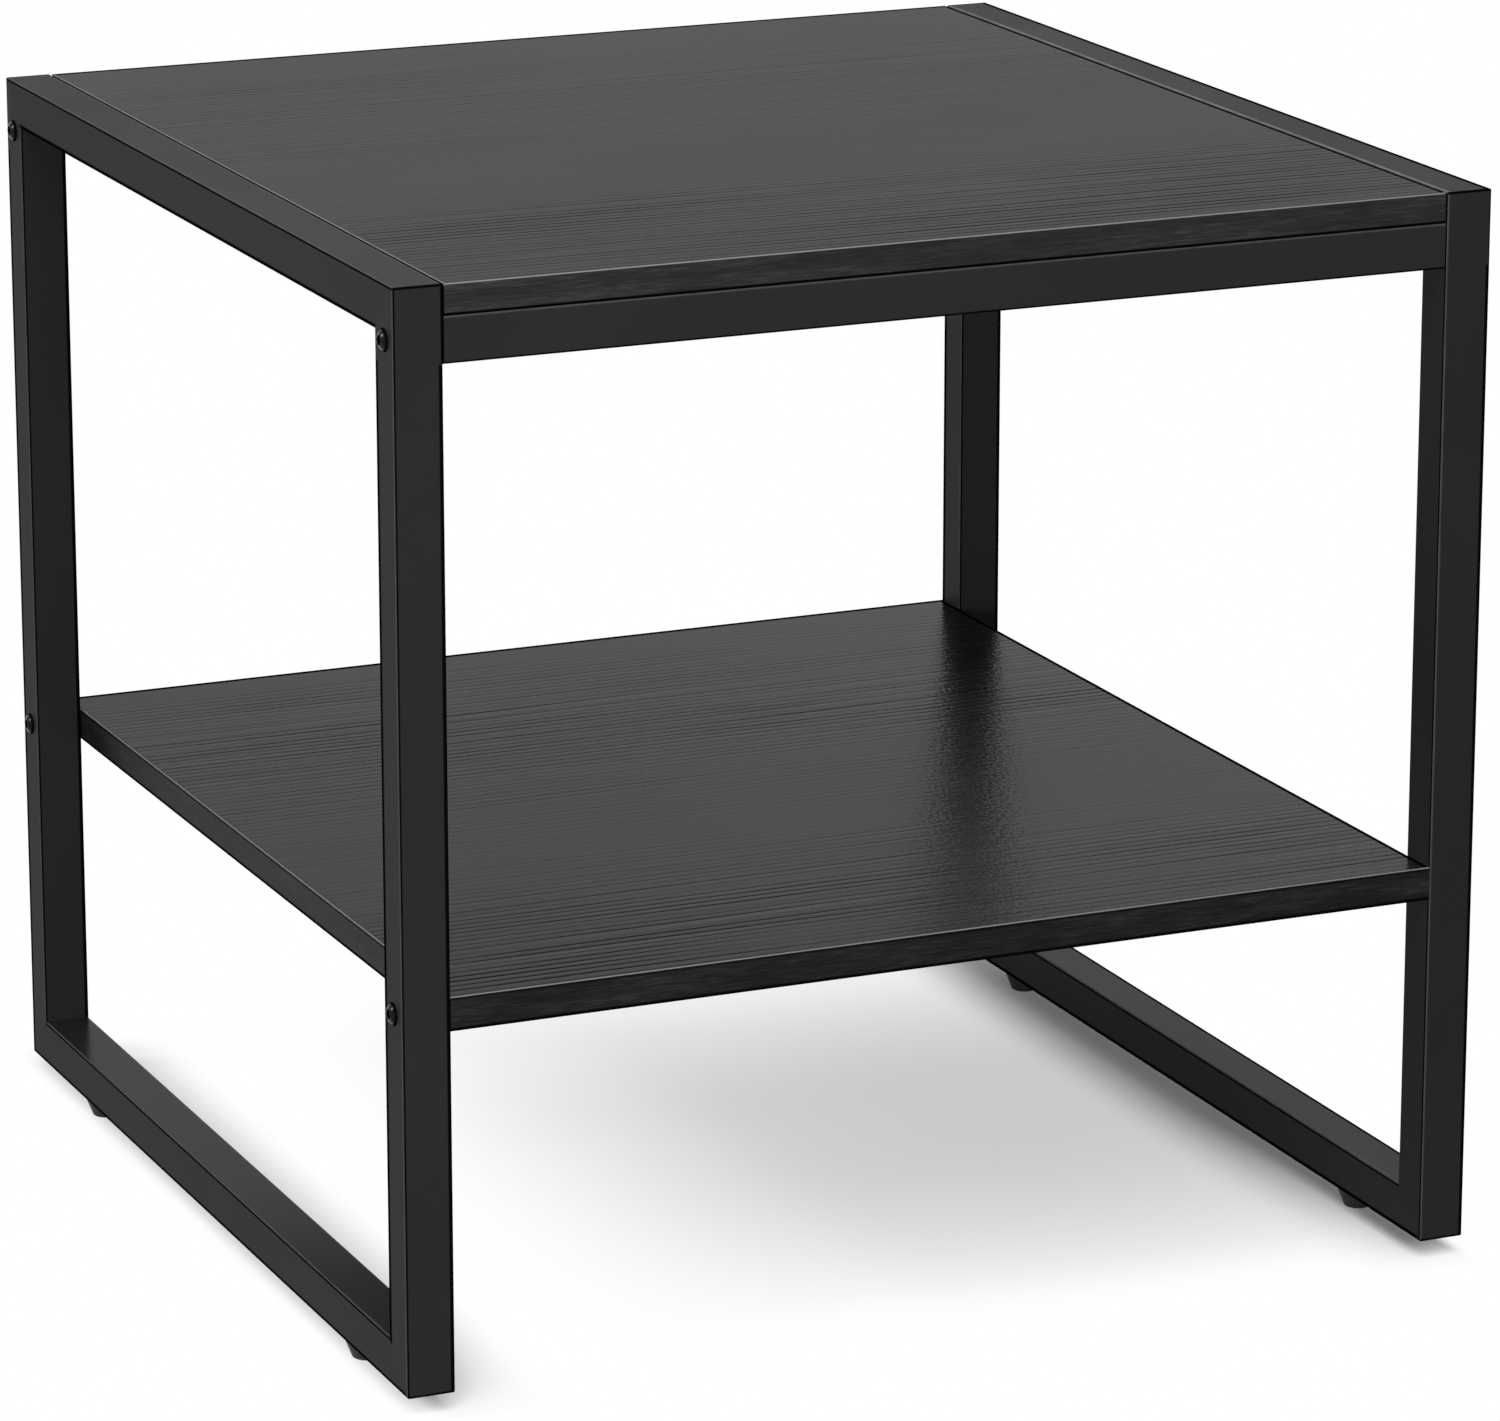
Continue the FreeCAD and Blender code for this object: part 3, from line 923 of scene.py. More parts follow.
@dataclass(frozen=True)
class MouldedPlastic(Finish):
    """Black moulded plastic of the feet, with a fine spark texture."""

    slot: str = "black_foot_plastic"
    tone: float = 0.010
    light_tone: float = 0.018
    roughness: float = 0.52
    specular: float = 0.2
    base_shade: float = 0.4
    scuff_scale: float = 240.0
    scuff_shade: float = 1.5
    scuff_roughness: float = 0.15
    texture_scale: float = 1400.0
    texture_height: float = 0.000010

    def paint(self, graph: SurfaceGraph) -> bpy.types.Material:
        """Builds the plastic.

        Args:
            graph: The empty material.

        Returns:
            The finished material.
        """
        scuffs = graph.noise(graph.place, self.scuff_scale, 4.0, 0.65)
        shade = (self.base_shade + scuffs * self.scuff_shade).rising(0.0, 1.0)
        texture = graph.noise(graph.place, self.texture_scale, 2.0)
        return graph.shaded({
            "Base Color": graph.blend(shade, self.tone, self.light_tone),
            "Roughness": self.roughness + scuffs * self.scuff_roughness,
            "Specular IOR Level": self.specular,
            "Normal": graph.relief(texture * self.texture_height),
        })


@dataclass
class ProfilePoint:
    """One point of an outline that is spun about its axis.

    hexagon and cross give the ring that shape, with the radius as half its width across flats or half its
    length, and thread lets the thread's groove cut into it.
    """

    radius: float
    height: float
    hexagon: float = 0.0
    cross: float = 0.0
    thread: float = 0.0


def arc(
    centre: Tuple[float, float], radius: float, start: float, stop: float, steps: int
) -> List[ProfilePoint]:
    """Points of a round stretch of an outline.

    Args:
        centre: The middle of the circle, as (radius, height).
        radius: The circle's radius.
        start: The angle of the first point in degrees, 0 pointing away from the axis and 90 up.
        stop: The angle of the last point.
        steps: How many steps lie between them.

    Returns:
        The points.
    """
    angles = [math.radians(start + (stop - start) * step / steps) for step in range(steps + 1)]
    return [
        ProfilePoint(centre[0] + radius * math.cos(angle), centre[1] + radius * math.sin(angle))
        for angle in angles
    ]


def threaded(radius: float, bottom: float, top: float, pitch: float) -> List[ProfilePoint]:
    """Points of a threaded stretch of an outline, from one height to another.

    Args:
        radius: The thread's outer radius.
        bottom: The height where the points start.
        top: The height where they end.
        pitch: The thread's pitch.

    Returns:
        The points, several for each turn.
    """
    rings_for_each_turn = 7
    rings = math.ceil(abs(top - bottom) / pitch * rings_for_each_turn)
    heights = [bottom + (top - bottom) * ring / rings for ring in range(rings + 1)]
    return [ProfilePoint(radius, height, thread=1.0) for height in heights]


class SpinningLathe:
    """Geometry nodes that spin an outline about its axis and set a copy at each place.

    The outline and the places are points of one mesh, told apart by an attribute. The tree reads the
    outline's points one by one, so every ring of the result has its own radius, hexagon, cross or thread.
    """

    INPUTS = {
        "Segments": "NodeSocketInt",
        "Thread Pitch": "NodeSocketFloat",
        "Thread Depth": "NodeSocketFloat",
        "Cross Width": "NodeSocketFloat",
        "Crease Angle": "NodeSocketFloat",
        "Material": "NodeSocketMaterial",
    }
    WELD_DISTANCE = 0.000001

    def __init__(self) -> None:
        """Builds the tree."""
        self.tree = bpy.data.node_groups.new("spinning lathe", "GeometryNodeTree")
        face = self.tree.interface
        face.new_socket("Geometry", in_out="INPUT", socket_type="NodeSocketGeometry")
        face.new_socket("Geometry", in_out="OUTPUT", socket_type="NodeSocketGeometry")
        self.identifiers = {
            name: face.new_socket(name, in_out="INPUT", socket_type=kind).identifier
            for name, kind in self.INPUTS.items()
        }
        self.graph = Graph(self.tree)
        self.given = self.graph.node("NodeGroupInput")
        self.connect()

    def input(self, name: str) -> Value:
        """One of the tree's own inputs."""
        return Value(self.graph, self.given.outputs[name])

    def attribute(self, name: str, kind: str = "FLOAT") -> Value:
        """A named attribute of the points."""
        return self.graph.value("GeometryNodeInputNamedAttribute", {"data_type": kind}, {"Name": name})

    def connect(self) -> None:
        """Connects the whole tree, from the points to the dressed copies."""
        graph = self.graph
        is_place = self.attribute("place")
        inputs = {"Geometry": self.input("Geometry"), "Selection": is_place}
        split = graph.node("GeometryNodeSeparateGeometry", {"domain": "POINT"}, inputs)
        places, outline = (Value(graph, split.outputs[name]) for name in ("Selection", "Inverted"))
        spun = self.smoothed(self.spun(outline))
        facing = self.attribute("facing", "FLOAT_VECTOR")
        turn = graph.value("FunctionNodeAlignRotationToVector", {"axis": "Z"}, {"Vector": facing})
        inputs = {"Points": places, "Instance": spun, "Rotation": turn}
        copies = graph.value("GeometryNodeInstanceOnPoints", inputs=inputs)
        real = graph.value("GeometryNodeRealizeInstances", inputs={"Geometry": copies})
        inputs = {"Geometry": real, "Material": self.input("Material")}
        dressed = graph.value("GeometryNodeSetMaterial", inputs=inputs)
        graph.node("NodeGroupOutput", inputs={"Geometry": dressed})

    def spun(self, outline: Value) -> Value:
        """Spins the outline.

        Args:
            outline: The outline's points, in order.

        Returns:
            The closed mesh round the Z axis.
        """
        graph = self.graph
        inputs = {"Geometry": outline}
        count = graph.value("GeometryNodeAttributeDomainSize", inputs=inputs, output="Point Count")
        segments = self.input("Segments")
        inputs = {"Vertices X": segments + 1, "Vertices Y": count}
        grid = graph.value("GeometryNodeMeshGrid", inputs=inputs)
        index = graph.value("GeometryNodeInputIndex")
        column = (index / count).floor()
        ring = index - column * count
        angle = column / segments * math.tau
        position = graph.value("GeometryNodeInputPosition")
        radius, _, height = graph.parts(self.at_ring(outline, position, ring, "FLOAT_VECTOR"))
        hexagon, cross, thread = (
            self.at_ring(outline, self.attribute(name), ring, "FLOAT") for name in RING_SHAPES
        )
        # A hexagon's radius grows from its flats to its corners.
        radius = radius + hexagon * radius * (1.0 / self.off_axis(angle, 6).cosine() - 1.0)
        # A cross is as long as its radius only inside its four arms.
        arm = self.input("Cross Width") / 2 / abs(self.off_axis(angle, 4).sine()).most(0.001)
        radius = radius - cross * (radius - radius.least(arm))
        # A thread's groove rises by one pitch with each turn.
        turns = height / self.input("Thread Pitch") - angle / math.tau
        groove = 1.0 - abs(turns % 1.0 * 2.0 - 1.0)
        radius = radius - thread * groove * self.input("Thread Depth")
        place = graph.vector(radius * angle.cosine(), radius * angle.sine(), height)
        shaped = graph.value("GeometryNodeSetPosition", inputs={"Geometry": grid, "Position": place})
        inputs = {"Geometry": shaped, "Distance": self.WELD_DISTANCE}
        return graph.value("GeometryNodeMergeByDistance", inputs=inputs)

    def at_ring(self, outline: Value, field: Value, ring: Value, kind: str) -> Value:
        """Reads the outline at the point that a ring belongs to.

        Args:
            outline: The outline's points.
            field: What to read there.
            ring: The point's index.
            kind: The type of what is read.

        Returns:
            The value there.
        """
        settings = {"data_type": kind, "domain": "POINT"}
        inputs = {"Geometry": outline, "Value": field, "Index": ring}
        return self.graph.value("GeometryNodeSampleIndex", settings, inputs)

    @staticmethod
    def off_axis(angle: Value, arms: int) -> Value:
        """The angle from the nearest of some evenly spaced axes."""
        step = math.tau / arms
        return (angle + step / 2) % step - step / 2

    def smoothed(self, mesh: Value) -> Value:
        """Shades the mesh smooth, with creases at its sharp edges.

        Args:
            mesh: The spun mesh.

        Returns:
            The shaded mesh.
        """
        graph = self.graph
        smooth = graph.value("GeometryNodeSetShadeSmooth", {"domain": "FACE"}, {"Geometry": mesh})
        sharp = graph.value("GeometryNodeInputMeshEdgeAngle") - self.input("Crease Angle")
        creases = {"Geometry": smooth, "Selection": sharp, "Shade Smooth": False}
        return graph.value("GeometryNodeSetShadeSmooth", {"domain": "EDGE"}, creases)

    def make(
        self, name: str, outline: Sequence[ProfilePoint], places: Sequence[Place], sizes: Mapping[str, Any]
    ) -> bpy.types.Object:
        """Makes one piece.

        Args:
            name: The piece's name.
            outline: The outline that is spun.
            places: Where a copy stands and which way its axis points.
            sizes: Values of the tree's inputs.

        Returns:
            The piece, as a plain mesh at the origin.
        """
        seed = bpy.data.objects.new(f"{name} outline", self.points(outline, places))
        bpy.context.scene.collection.objects.link(seed)
        modifier = seed.modifiers.new("lathe", "NODES")
        modifier.node_group = self.tree
        for size_name, size in sizes.items():
            modifier[self.identifiers[size_name]] = size
        evaluated = seed.evaluated_get(bpy.context.evaluated_depsgraph_get())
        mesh = bpy.data.meshes.new_from_object(evaluated)
        bpy.data.objects.remove(seed)
        face_outwards(mesh)
        mesh.name = name
        piece = bpy.data.objects.new(name, mesh)
        bpy.context.scene.collection.objects.link(piece)
        return piece

    @staticmethod
    def points(outline: Sequence[ProfilePoint], places: Sequence[Place]) -> bpy.types.Mesh:
        """The points that the tree reads.

        Args:
            outline: The outline that is spun.
            places: Where a copy stands and which way its axis points.

        Returns:
            A mesh of loose points with the attributes that tell them apart.
        """
        mesh = bpy.data.meshes.new("outline and places")
        spots = [(point.radius, 0.0, point.height) for point in outline]
        mesh.from_pydata(spots + [tuple(place) for place, _ in places], [], [])
        columns = {name: [getattr(point, name) for point in outline] for name in RING_SHAPES}
        columns["place"] = [0.0] * len(outline) + [1.0] * len(places)
        for name, numbers in columns.items():
            padded = numbers + [0.0] * (len(spots) + len(places) - len(numbers))
            mesh.attributes.new(name, "FLOAT", "POINT").data.foreach_set("value", padded)
        ways = [0.0] * 3 * len(spots) + [number for _, facing in places for number in facing]
        mesh.attributes.new("facing", "FLOAT_VECTOR", "POINT").data.foreach_set("vector", ways)
        return mesh


def face_outwards(mesh: bpy.types.Mesh) -> None:
    """Turns all faces of a closed mesh outwards.

    Args:
        mesh: The mesh.
    """
    work = bmesh.new()
    work.from_mesh(mesh)
    bmesh.ops.recalc_face_normals(work, faces=work.faces)
    work.to_mesh(mesh)
    work.free()


def dress(node: str, finish: Finish) -> bpy.types.Object:
    """Gives a node of the frame its finish.

    Args:
        node: The node's name.
        finish: Its finish.

    Returns:
        The node's object.
    """
    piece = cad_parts[node]
    for slot in piece.material_slots:
        slot.material = finish.material()
    return piece


def stand_in(piece: bpy.types.Object, node: str, body: str) -> bpy.types.Object:
    """Puts a new piece in place of a node of the frame.

    Args:
        piece: The new piece.
        node: The node that it replaces.
        body: The body that it moves with.

    Returns:
        The piece.
    """
    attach(piece, body)
    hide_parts(node)
    return piece


@dataclass
class SideFrame:
    """One welded side frame: two legs, a top rail and a bottom rail, each with its own gloss.

    The fields that start with low are the bottom rail's.
    """

    side: Side
    front_gloss: float
    rear_gloss: float
    top_gloss: float = 0.032
    low_gloss: float = 0.033
    low_roughness: float = 0.22
    # The tone of the painted highlight along the bottom rail's edges.
    low_rim_tone: float = 0.060
    low_slanting: float = 0.2

    def build(self) -> List[bpy.types.Object]:
        """Dresses the four tubes.

        Returns:
            The tubes' objects.
        """
        # The edges that face the lamps carry the painted highlights: both upper edges on the left frame, the
        # upper left edge on the right frame.
        level = Rims.UPPER_FACE if self.side is Side.LEFT else Rims.UPPER_CORNER
        low_details = {
            "specular": self.low_gloss,
            "roughness": self.low_roughness,
            "light_rim_tone": self.low_rim_tone,
            "light_corner_tone": self.low_rim_tone,
            "slanting": self.low_slanting,
        }
        pieces = [
            dress_tube(f"{self.side.label}_top_rail", level, specular=self.top_gloss),
            dress_tube(f"{self.side.label}_bottom_rail", level, **low_details),
        ]
        glosses = {End.FRONT: self.front_gloss, End.REAR: self.rear_gloss}
        seam_from = Box.of("front_crossbar").low[2]
        for end, gloss in glosses.items():
            corner = (self.side, end)
            # The right front leg's painted highlight runs along its front face's left edge; the other legs'
            # along the left face's front edge.
            rims = Rims.FRONT_CORNER if corner == (Side.RIGHT, End.FRONT) else Rims.LEFT_FACE
            node = f"{self.side.label}_{end.label}_leg"
            pieces.append(dress_tube(node, rims, specular=gloss, seam_from=seam_from))
        return pieces


@dataclass
class Crossbars:
    """The two tubes under the top board."""

    gloss: float = 0.040

    def build(self) -> List[bpy.types.Object]:
        """Dresses both tubes."""
        details = {"specular": self.gloss, "seam_from": 0.0}
        # The crossbars' painted highlight runs along the front face's upper edge, with painted shade lines
        # along the rest.
        return [dress_tube(f"{end.label}_crossbar", Rims.FRONT_FACE, **details) for end in End]


def dress_tube(node: str, rims: Rims, **details: float) -> bpy.types.Object:
    """Coats one tube.

    Args:
        node: The tube's name.
        rims: Which of its edges are light.
        details: Fields of its coat that differ from a plain coat's.

    Returns:
        The tube's object.
    """
    return dress(node, CoatedSteel(f"black coat {node}", box=Box.of(node), rims=rims, **details))


@dataclass
class GrainedBoard:
    """A board and its four edge strips."""

    board: str
    strips: str
    foil: WoodGrainFoil
    # The strips' tone, their light tone, and the tone of the painted highlight on the front and left strips.
    strip_tones: Tuple[float, float, float]
    # The width of the painted dark lines of shade along the strips' edges, the strength of the one under the
    # highlight, and whether the side strips lie against rails with their outer faces painted dark as shade.
    seam_width: float
    under_line: float
    sides_hidden: bool

    def build(self) -> List[bpy.types.Object]:
        """Dresses the board and its strips.

        Returns:
            Their objects, the board's first.
        """
        pieces = [dress(self.board, self.foil)]
        for end in End:
            pieces.append(self.strip(end.label, Run.ALONG_X))
        for side in Side:
            pieces.append(self.strip(side.label, Run.ALONG_Y))
        return pieces

    def strip(self, label: str, run: Run) -> bpy.types.Object:
        """Dresses one edge strip.

        Args:
            label: The edge that it is on.
            run: The way that its grain runs.

        Returns:
            The strip's object.
        """
        node = f"{self.strips}_{label}_strip"
        tone, light_tone, painted_highlight_tone = self.strip_tones
        finish = EdgeStripGrain(
            f"strip grain {node}",
            box=Box.of(node),
            run=run,
            # The front and left strips, which face the lamps, get the painted highlight.
            painted_highlight=label in (End.FRONT.label, Side.LEFT.label),
            hidden=self.sides_hidden and run is Run.ALONG_Y,
            tone=tone,
            light_tone=light_tone,
            painted_highlight_tone=painted_highlight_tone,
            seam_width=self.seam_width,
            under_line=self.under_line,
        )
        return dress(node, finish)


@dataclass
class LegBolts:
    """Four button-head bolts through the legs, heads on the outer faces."""

    lathe: SpinningLathe
    node: str
    in_line_with: str
    length: float
    thread_length: float
    diameter: float = 0.006
    pitch: float = 0.001
    thread_depth: float = 0.0006
    head_diameter: float = 0.010
    head_height: float = 0.0022
    head_flat: float = 0.0052
    rim_height: float = 0.0003
    socket_width: float = 0.004
    socket_depth: float = 0.0015
    socket_chamfer: float = 0.0002
    drill_depth: float = 0.0004
    tip_chamfer: float = 0.0006
    dome_steps: int = 9
    segments: int = 48

    def outline(self) -> List[ProfilePoint]:
        """The bolt's outline.

        Returns:
            The points, from the floor of its socket over the head to the tip of the shank.
        """
        top, radius = self.head_height, self.diameter / 2
        socket = self.socket_width / 2
        floor = top - self.socket_depth
        thread_top = self.thread_length - self.length
        tip = -self.length
        return [
            ProfilePoint(0.0, floor - self.drill_depth),
            ProfilePoint(socket, floor, hexagon=1.0),
            ProfilePoint(socket, top - self.socket_chamfer, hexagon=1.0),
            ProfilePoint(socket + self.socket_chamfer, top, hexagon=0.8),
            *self.dome(),
            ProfilePoint(self.head_diameter / 2, 0.0),
            ProfilePoint(radius, 0.0),
            ProfilePoint(radius, thread_top),
            *threaded(radius, thread_top, tip + self.tip_chamfer, self.pitch),
            ProfilePoint(radius - self.tip_chamfer, tip),
            ProfilePoint(0.0, tip),
        ]

    def dome(self) -> List[ProfilePoint]:
        """The round of the head.

        Returns:
            The points, from the flat of its crown to its rim.
        """
        rim, crown, height = self.head_diameter / 2, self.head_flat / 2, self.head_height
        centre = (crown ** 2 + height ** 2 - rim ** 2) / (2 * height)
        radius = math.hypot(rim, centre)
        start = math.degrees(math.atan2(height - centre, crown))
        stop = math.degrees(math.atan2(self.rim_height - centre, rim))
        return arc((0.0, centre), radius, start, stop, self.dome_steps)

    def places(self) -> List[Place]:
        """The four corners where the heads sit.

        Returns:
            The middle of each head's underside, and the way out of the leg.
        """
        low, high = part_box(self.node)
        x = high.x - self.head_height
        z = (low.z + high.z) / 2
        y = Box.of(self.in_line_with).middle[1]
        return [
            (Vector((side.value * x, end.value * y, z)), Vector((side.value, 0.0, 0.0)))
            for side, end in CORNERS
        ]

    def build(self) -> List[bpy.types.Object]:
        """Spins the bolts and puts them in place of the plain ones.

        Returns:
            The one piece that holds all four.
        """
        places = self.places()
        finish = DarkSteel(f"blackened steel {self.node}", axis=(abs(places[0][0].y), places[0][0].z))
        sizes = {
            "Segments": self.segments,
            "Thread Pitch": self.pitch,
            "Thread Depth": self.thread_depth,
            "Crease Angle": CREASE_ANGLE,
            "Material": finish.material(),
        }
        piece = self.lathe.make(f"detailed_{self.node}", self.outline(), places, sizes)
        return [stand_in(piece, self.node, TABLE_BODY)]


@dataclass
class BoardScrews:
    """Four pan-head screws inside the crossbars that hold the top board."""

    lathe: SpinningLathe
    node: str = "top_board_screws"
    diameter: float = 0.004
    pitch: float = 0.0014
    thread_depth: float = 0.0007
    neck_length: float = 0.0014
    point_length: float = 0.003
    head_height: float = 0.0024
    head_edge_radius: float = 0.0012
    recess_length: float = 0.0044
    recess_width: float = 0.0011
    recess_depth: float = 0.0016
    recess_floor: float = 0.0016
    recess_lip: float = 0.0002
    segments: int = 48

    def outline(self) -> List[ProfilePoint]:
        """The screw's outline, head up.

        Returns:
            The points, from the bottom of its cross recess to its point.
        """
        low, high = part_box(self.node)
        length = high.z - low.z - self.head_height
        radius, top = self.diameter / 2, self.head_height
        rim = self.head_radius()
        edge = self.head_edge_radius
        point = self.point_length - length
        return [
            ProfilePoint(0.0, top - self.recess_depth),
            ProfilePoint(self.recess_floor / 2, top - self.recess_depth, cross=1.0),
            ProfilePoint(self.recess_length / 2, top, cross=1.0),
            ProfilePoint(self.recess_length / 2 + self.recess_lip, top),
            *arc((rim - edge, top - edge), edge, 90, 0, 7),
            ProfilePoint(rim, 0.0),
            ProfilePoint(radius, 0.0),
            ProfilePoint(radius, -self.neck_length),
            *threaded(radius, -self.neck_length, point, self.pitch),
            ProfilePoint(0.0, -length),
        ]

    def head_radius(self) -> float:
        """The head's radius, from the box of the screws and the middle of the crossbar."""
        crossbar_low, crossbar_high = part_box("rear_crossbar")
        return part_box(self.node)[1].y - (crossbar_low.y + crossbar_high.y) / 2

    def places(self) -> List[Place]:
        """The four places inside the crossbars.

        Returns:
            The middle of each head's upper side, and the way down that the head points.
        """
        low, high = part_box(self.node)
        radius = self.head_radius()
        x, y, z = high.x - radius, high.y - radius, low.z + self.head_height
        down = Vector((0.0, 0.0, -1.0))
        return [(Vector((side.value * x, end.value * y, z)), down) for side, end in CORNERS]

    def build(self) -> List[bpy.types.Object]:
        """Spins the screws and puts them in place of the plain ones.

        Returns:
            The one piece that holds all four.
        """
        finish = ZincPlate("zinc plate screws")
        sizes = {
            "Segments": self.segments,
            "Thread Pitch": self.pitch,
            "Thread Depth": self.thread_depth,
            "Cross Width": self.recess_width,
            "Crease Angle": CREASE_ANGLE,
            "Material": finish.material(),
        }
        piece = self.lathe.make(f"detailed_{self.node}", self.outline(), self.places(), sizes)
        return [stand_in(piece, self.node, TABLE_BODY)]


@dataclass
class LevellingFoot:
    """One screw-in foot: a plastic cone that turns, and its threaded stud that rises and falls."""

    lathe: SpinningLathe
    side: Side
    end: End
    bottom_diameter: float = 0.0125
    edge_radius: float = 0.001
    top_edge_radius: float = 0.0006
    recess_diameter: float = 0.013
    recess_depth: float = 0.0012
    bore_diameter: float = 0.0061
    bore_floor: float = 0.003
    sole_recess_diameter: float = 0.0076
    sole_recess_depth: float = 0.0005
    pitch: float = 0.001
    thread_depth: float = 0.0006
    tip_chamfer: float = 0.0008
    segments: int = 48

    @property
    def label(self) -> str:
        """The corner's name in node names."""
        return f"{self.side.label}_{self.end.label}"

    def axis_at(self, node: str, height: float) -> List[Place]:
        """The foot's axis, pointing up from a height."""
        low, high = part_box(node)
        return [(Vector(((low.x + high.x) / 2, (low.y + high.y) / 2, height)), Vector((0.0, 0.0, 1.0)))]

    def base_outline(self, top_diameter: float, height: float) -> List[ProfilePoint]:
        """The plastic cone's outline.

        Args:
            top_diameter: The cone's diameter under the rail.
            height: The cone's height.

        Returns:
            The points, from the middle of the sole round the cone to the floor of the bore.
        """
        foot, top = self.bottom_diameter / 2, top_diameter / 2
        slope = math.degrees(math.atan2(height, top - foot))
        edge, lip = self.edge_radius, self.top_edge_radius
        sole = self.sole_recess_diameter / 2
        recess, bore = self.recess_diameter / 2, self.bore_diameter / 2
        inset = edge * math.tan(math.radians(slope / 2))
        return [
            ProfilePoint(0.0, self.sole_recess_depth),
            ProfilePoint(sole - self.sole_recess_depth, self.sole_recess_depth),
            ProfilePoint(sole, 0.0),
            *arc((foot - inset, edge), edge, -90, slope - 90, 7),
            *arc((top - lip, height - lip), lip, slope - 90, 90, 6),
            ProfilePoint(recess, height),
            ProfilePoint(recess, height - self.recess_depth),
            ProfilePoint(bore, height - self.recess_depth),
            ProfilePoint(bore, self.bore_floor),
            ProfilePoint(0.0, self.bore_floor),
        ]

    def stud_outline(self, radius: float, length: float) -> List[ProfilePoint]:
        """The stud's outline.

        Args:
            radius: The stud's radius.
            length: Its length.

        Returns:
            The points, from its end in the plastic to its tip.
        """
        return [
            ProfilePoint(0.0, 0.0),
            ProfilePoint(radius, 0.0),
            *threaded(radius, 0.0, length - self.tip_chamfer, self.pitch),
            ProfilePoint(radius - self.tip_chamfer, length),
            ProfilePoint(0.0, length),
        ]

    def build(self) -> List[bpy.types.Object]:
        """Spins the cone and the stud and puts them in place of the plain ones.

        Returns:
            The cone and the stud.
        """
        base_node, stud_node = f"{self.label}_foot_base", f"{self.label}_foot_stud"
        plastic, zinc = MouldedPlastic("black foot plastic moulded"), ZincPlate("zinc plate studs")
        low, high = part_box(base_node)
        sizes = {
            "Segments": self.segments,
            "Thread Pitch": self.pitch,
            "Thread Depth": self.thread_depth,
            "Crease Angle": CREASE_ANGLE,
        }
        cone = self.lathe.make(
            f"detailed_{base_node}",
            self.base_outline(high.x - low.x, high.z - low.z),
            self.axis_at(base_node, low.z),
            {**sizes, "Material": plastic.material()},
        )
        low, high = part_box(stud_node)
        stud = self.lathe.make(
            f"detailed_{stud_node}",
            self.stud_outline((high.x - low.x) / 2, high.z - low.z),
            self.axis_at(stud_node, low.z),
            {**sizes, "Material": zinc.material()},
        )
        return [
            stand_in(cone, base_node, f"{self.label}_foot"),
            stand_in(stud, stud_node, f"{self.label}_foot_thread"),
        ]


@dataclass
class InnerHardware:
    """The plated pieces inside: end plates, weld nuts, barrel nuts and rivet nuts."""

    groups: Tuple[str, ...] = ("crossbar_weld_nuts", "shelf_barrel_nuts", "foot_rivet_nuts")

    def build(self) -> List[bpy.types.Object]:
        """Dresses the plates and the nuts.

        Returns:
            Their objects, the plates' first.
        """
        zinc = ZincPlate("zinc plate nuts")
        plates = [f"{side.label}_{end.label}_end_plate" for side, end in CORNERS]
        return [dress(node, zinc) for node in plates + list(self.groups)]


@dataclass(frozen=True)
class SoftLight:
    """A square studio light, aimed at the table."""

    name: str
    location: Corner
    size: float
    power: float
    target: Corner = (0.0, 0.0, 0.25)

    def build(self) -> None:
        """Hangs the light."""
        lamp = bpy.data.lights.new(self.name, "AREA")
        lamp.shape = "SQUARE"
        lamp.size = self.size
        lamp.energy = self.power
        holder = bpy.data.objects.new(self.name, lamp)
        holder.location = self.location
        aim = Vector(self.target) - Vector(self.location)
        holder.rotation_euler = aim.to_track_quat("-Z", "Y").to_euler()
        bpy.context.scene.collection.objects.link(holder)


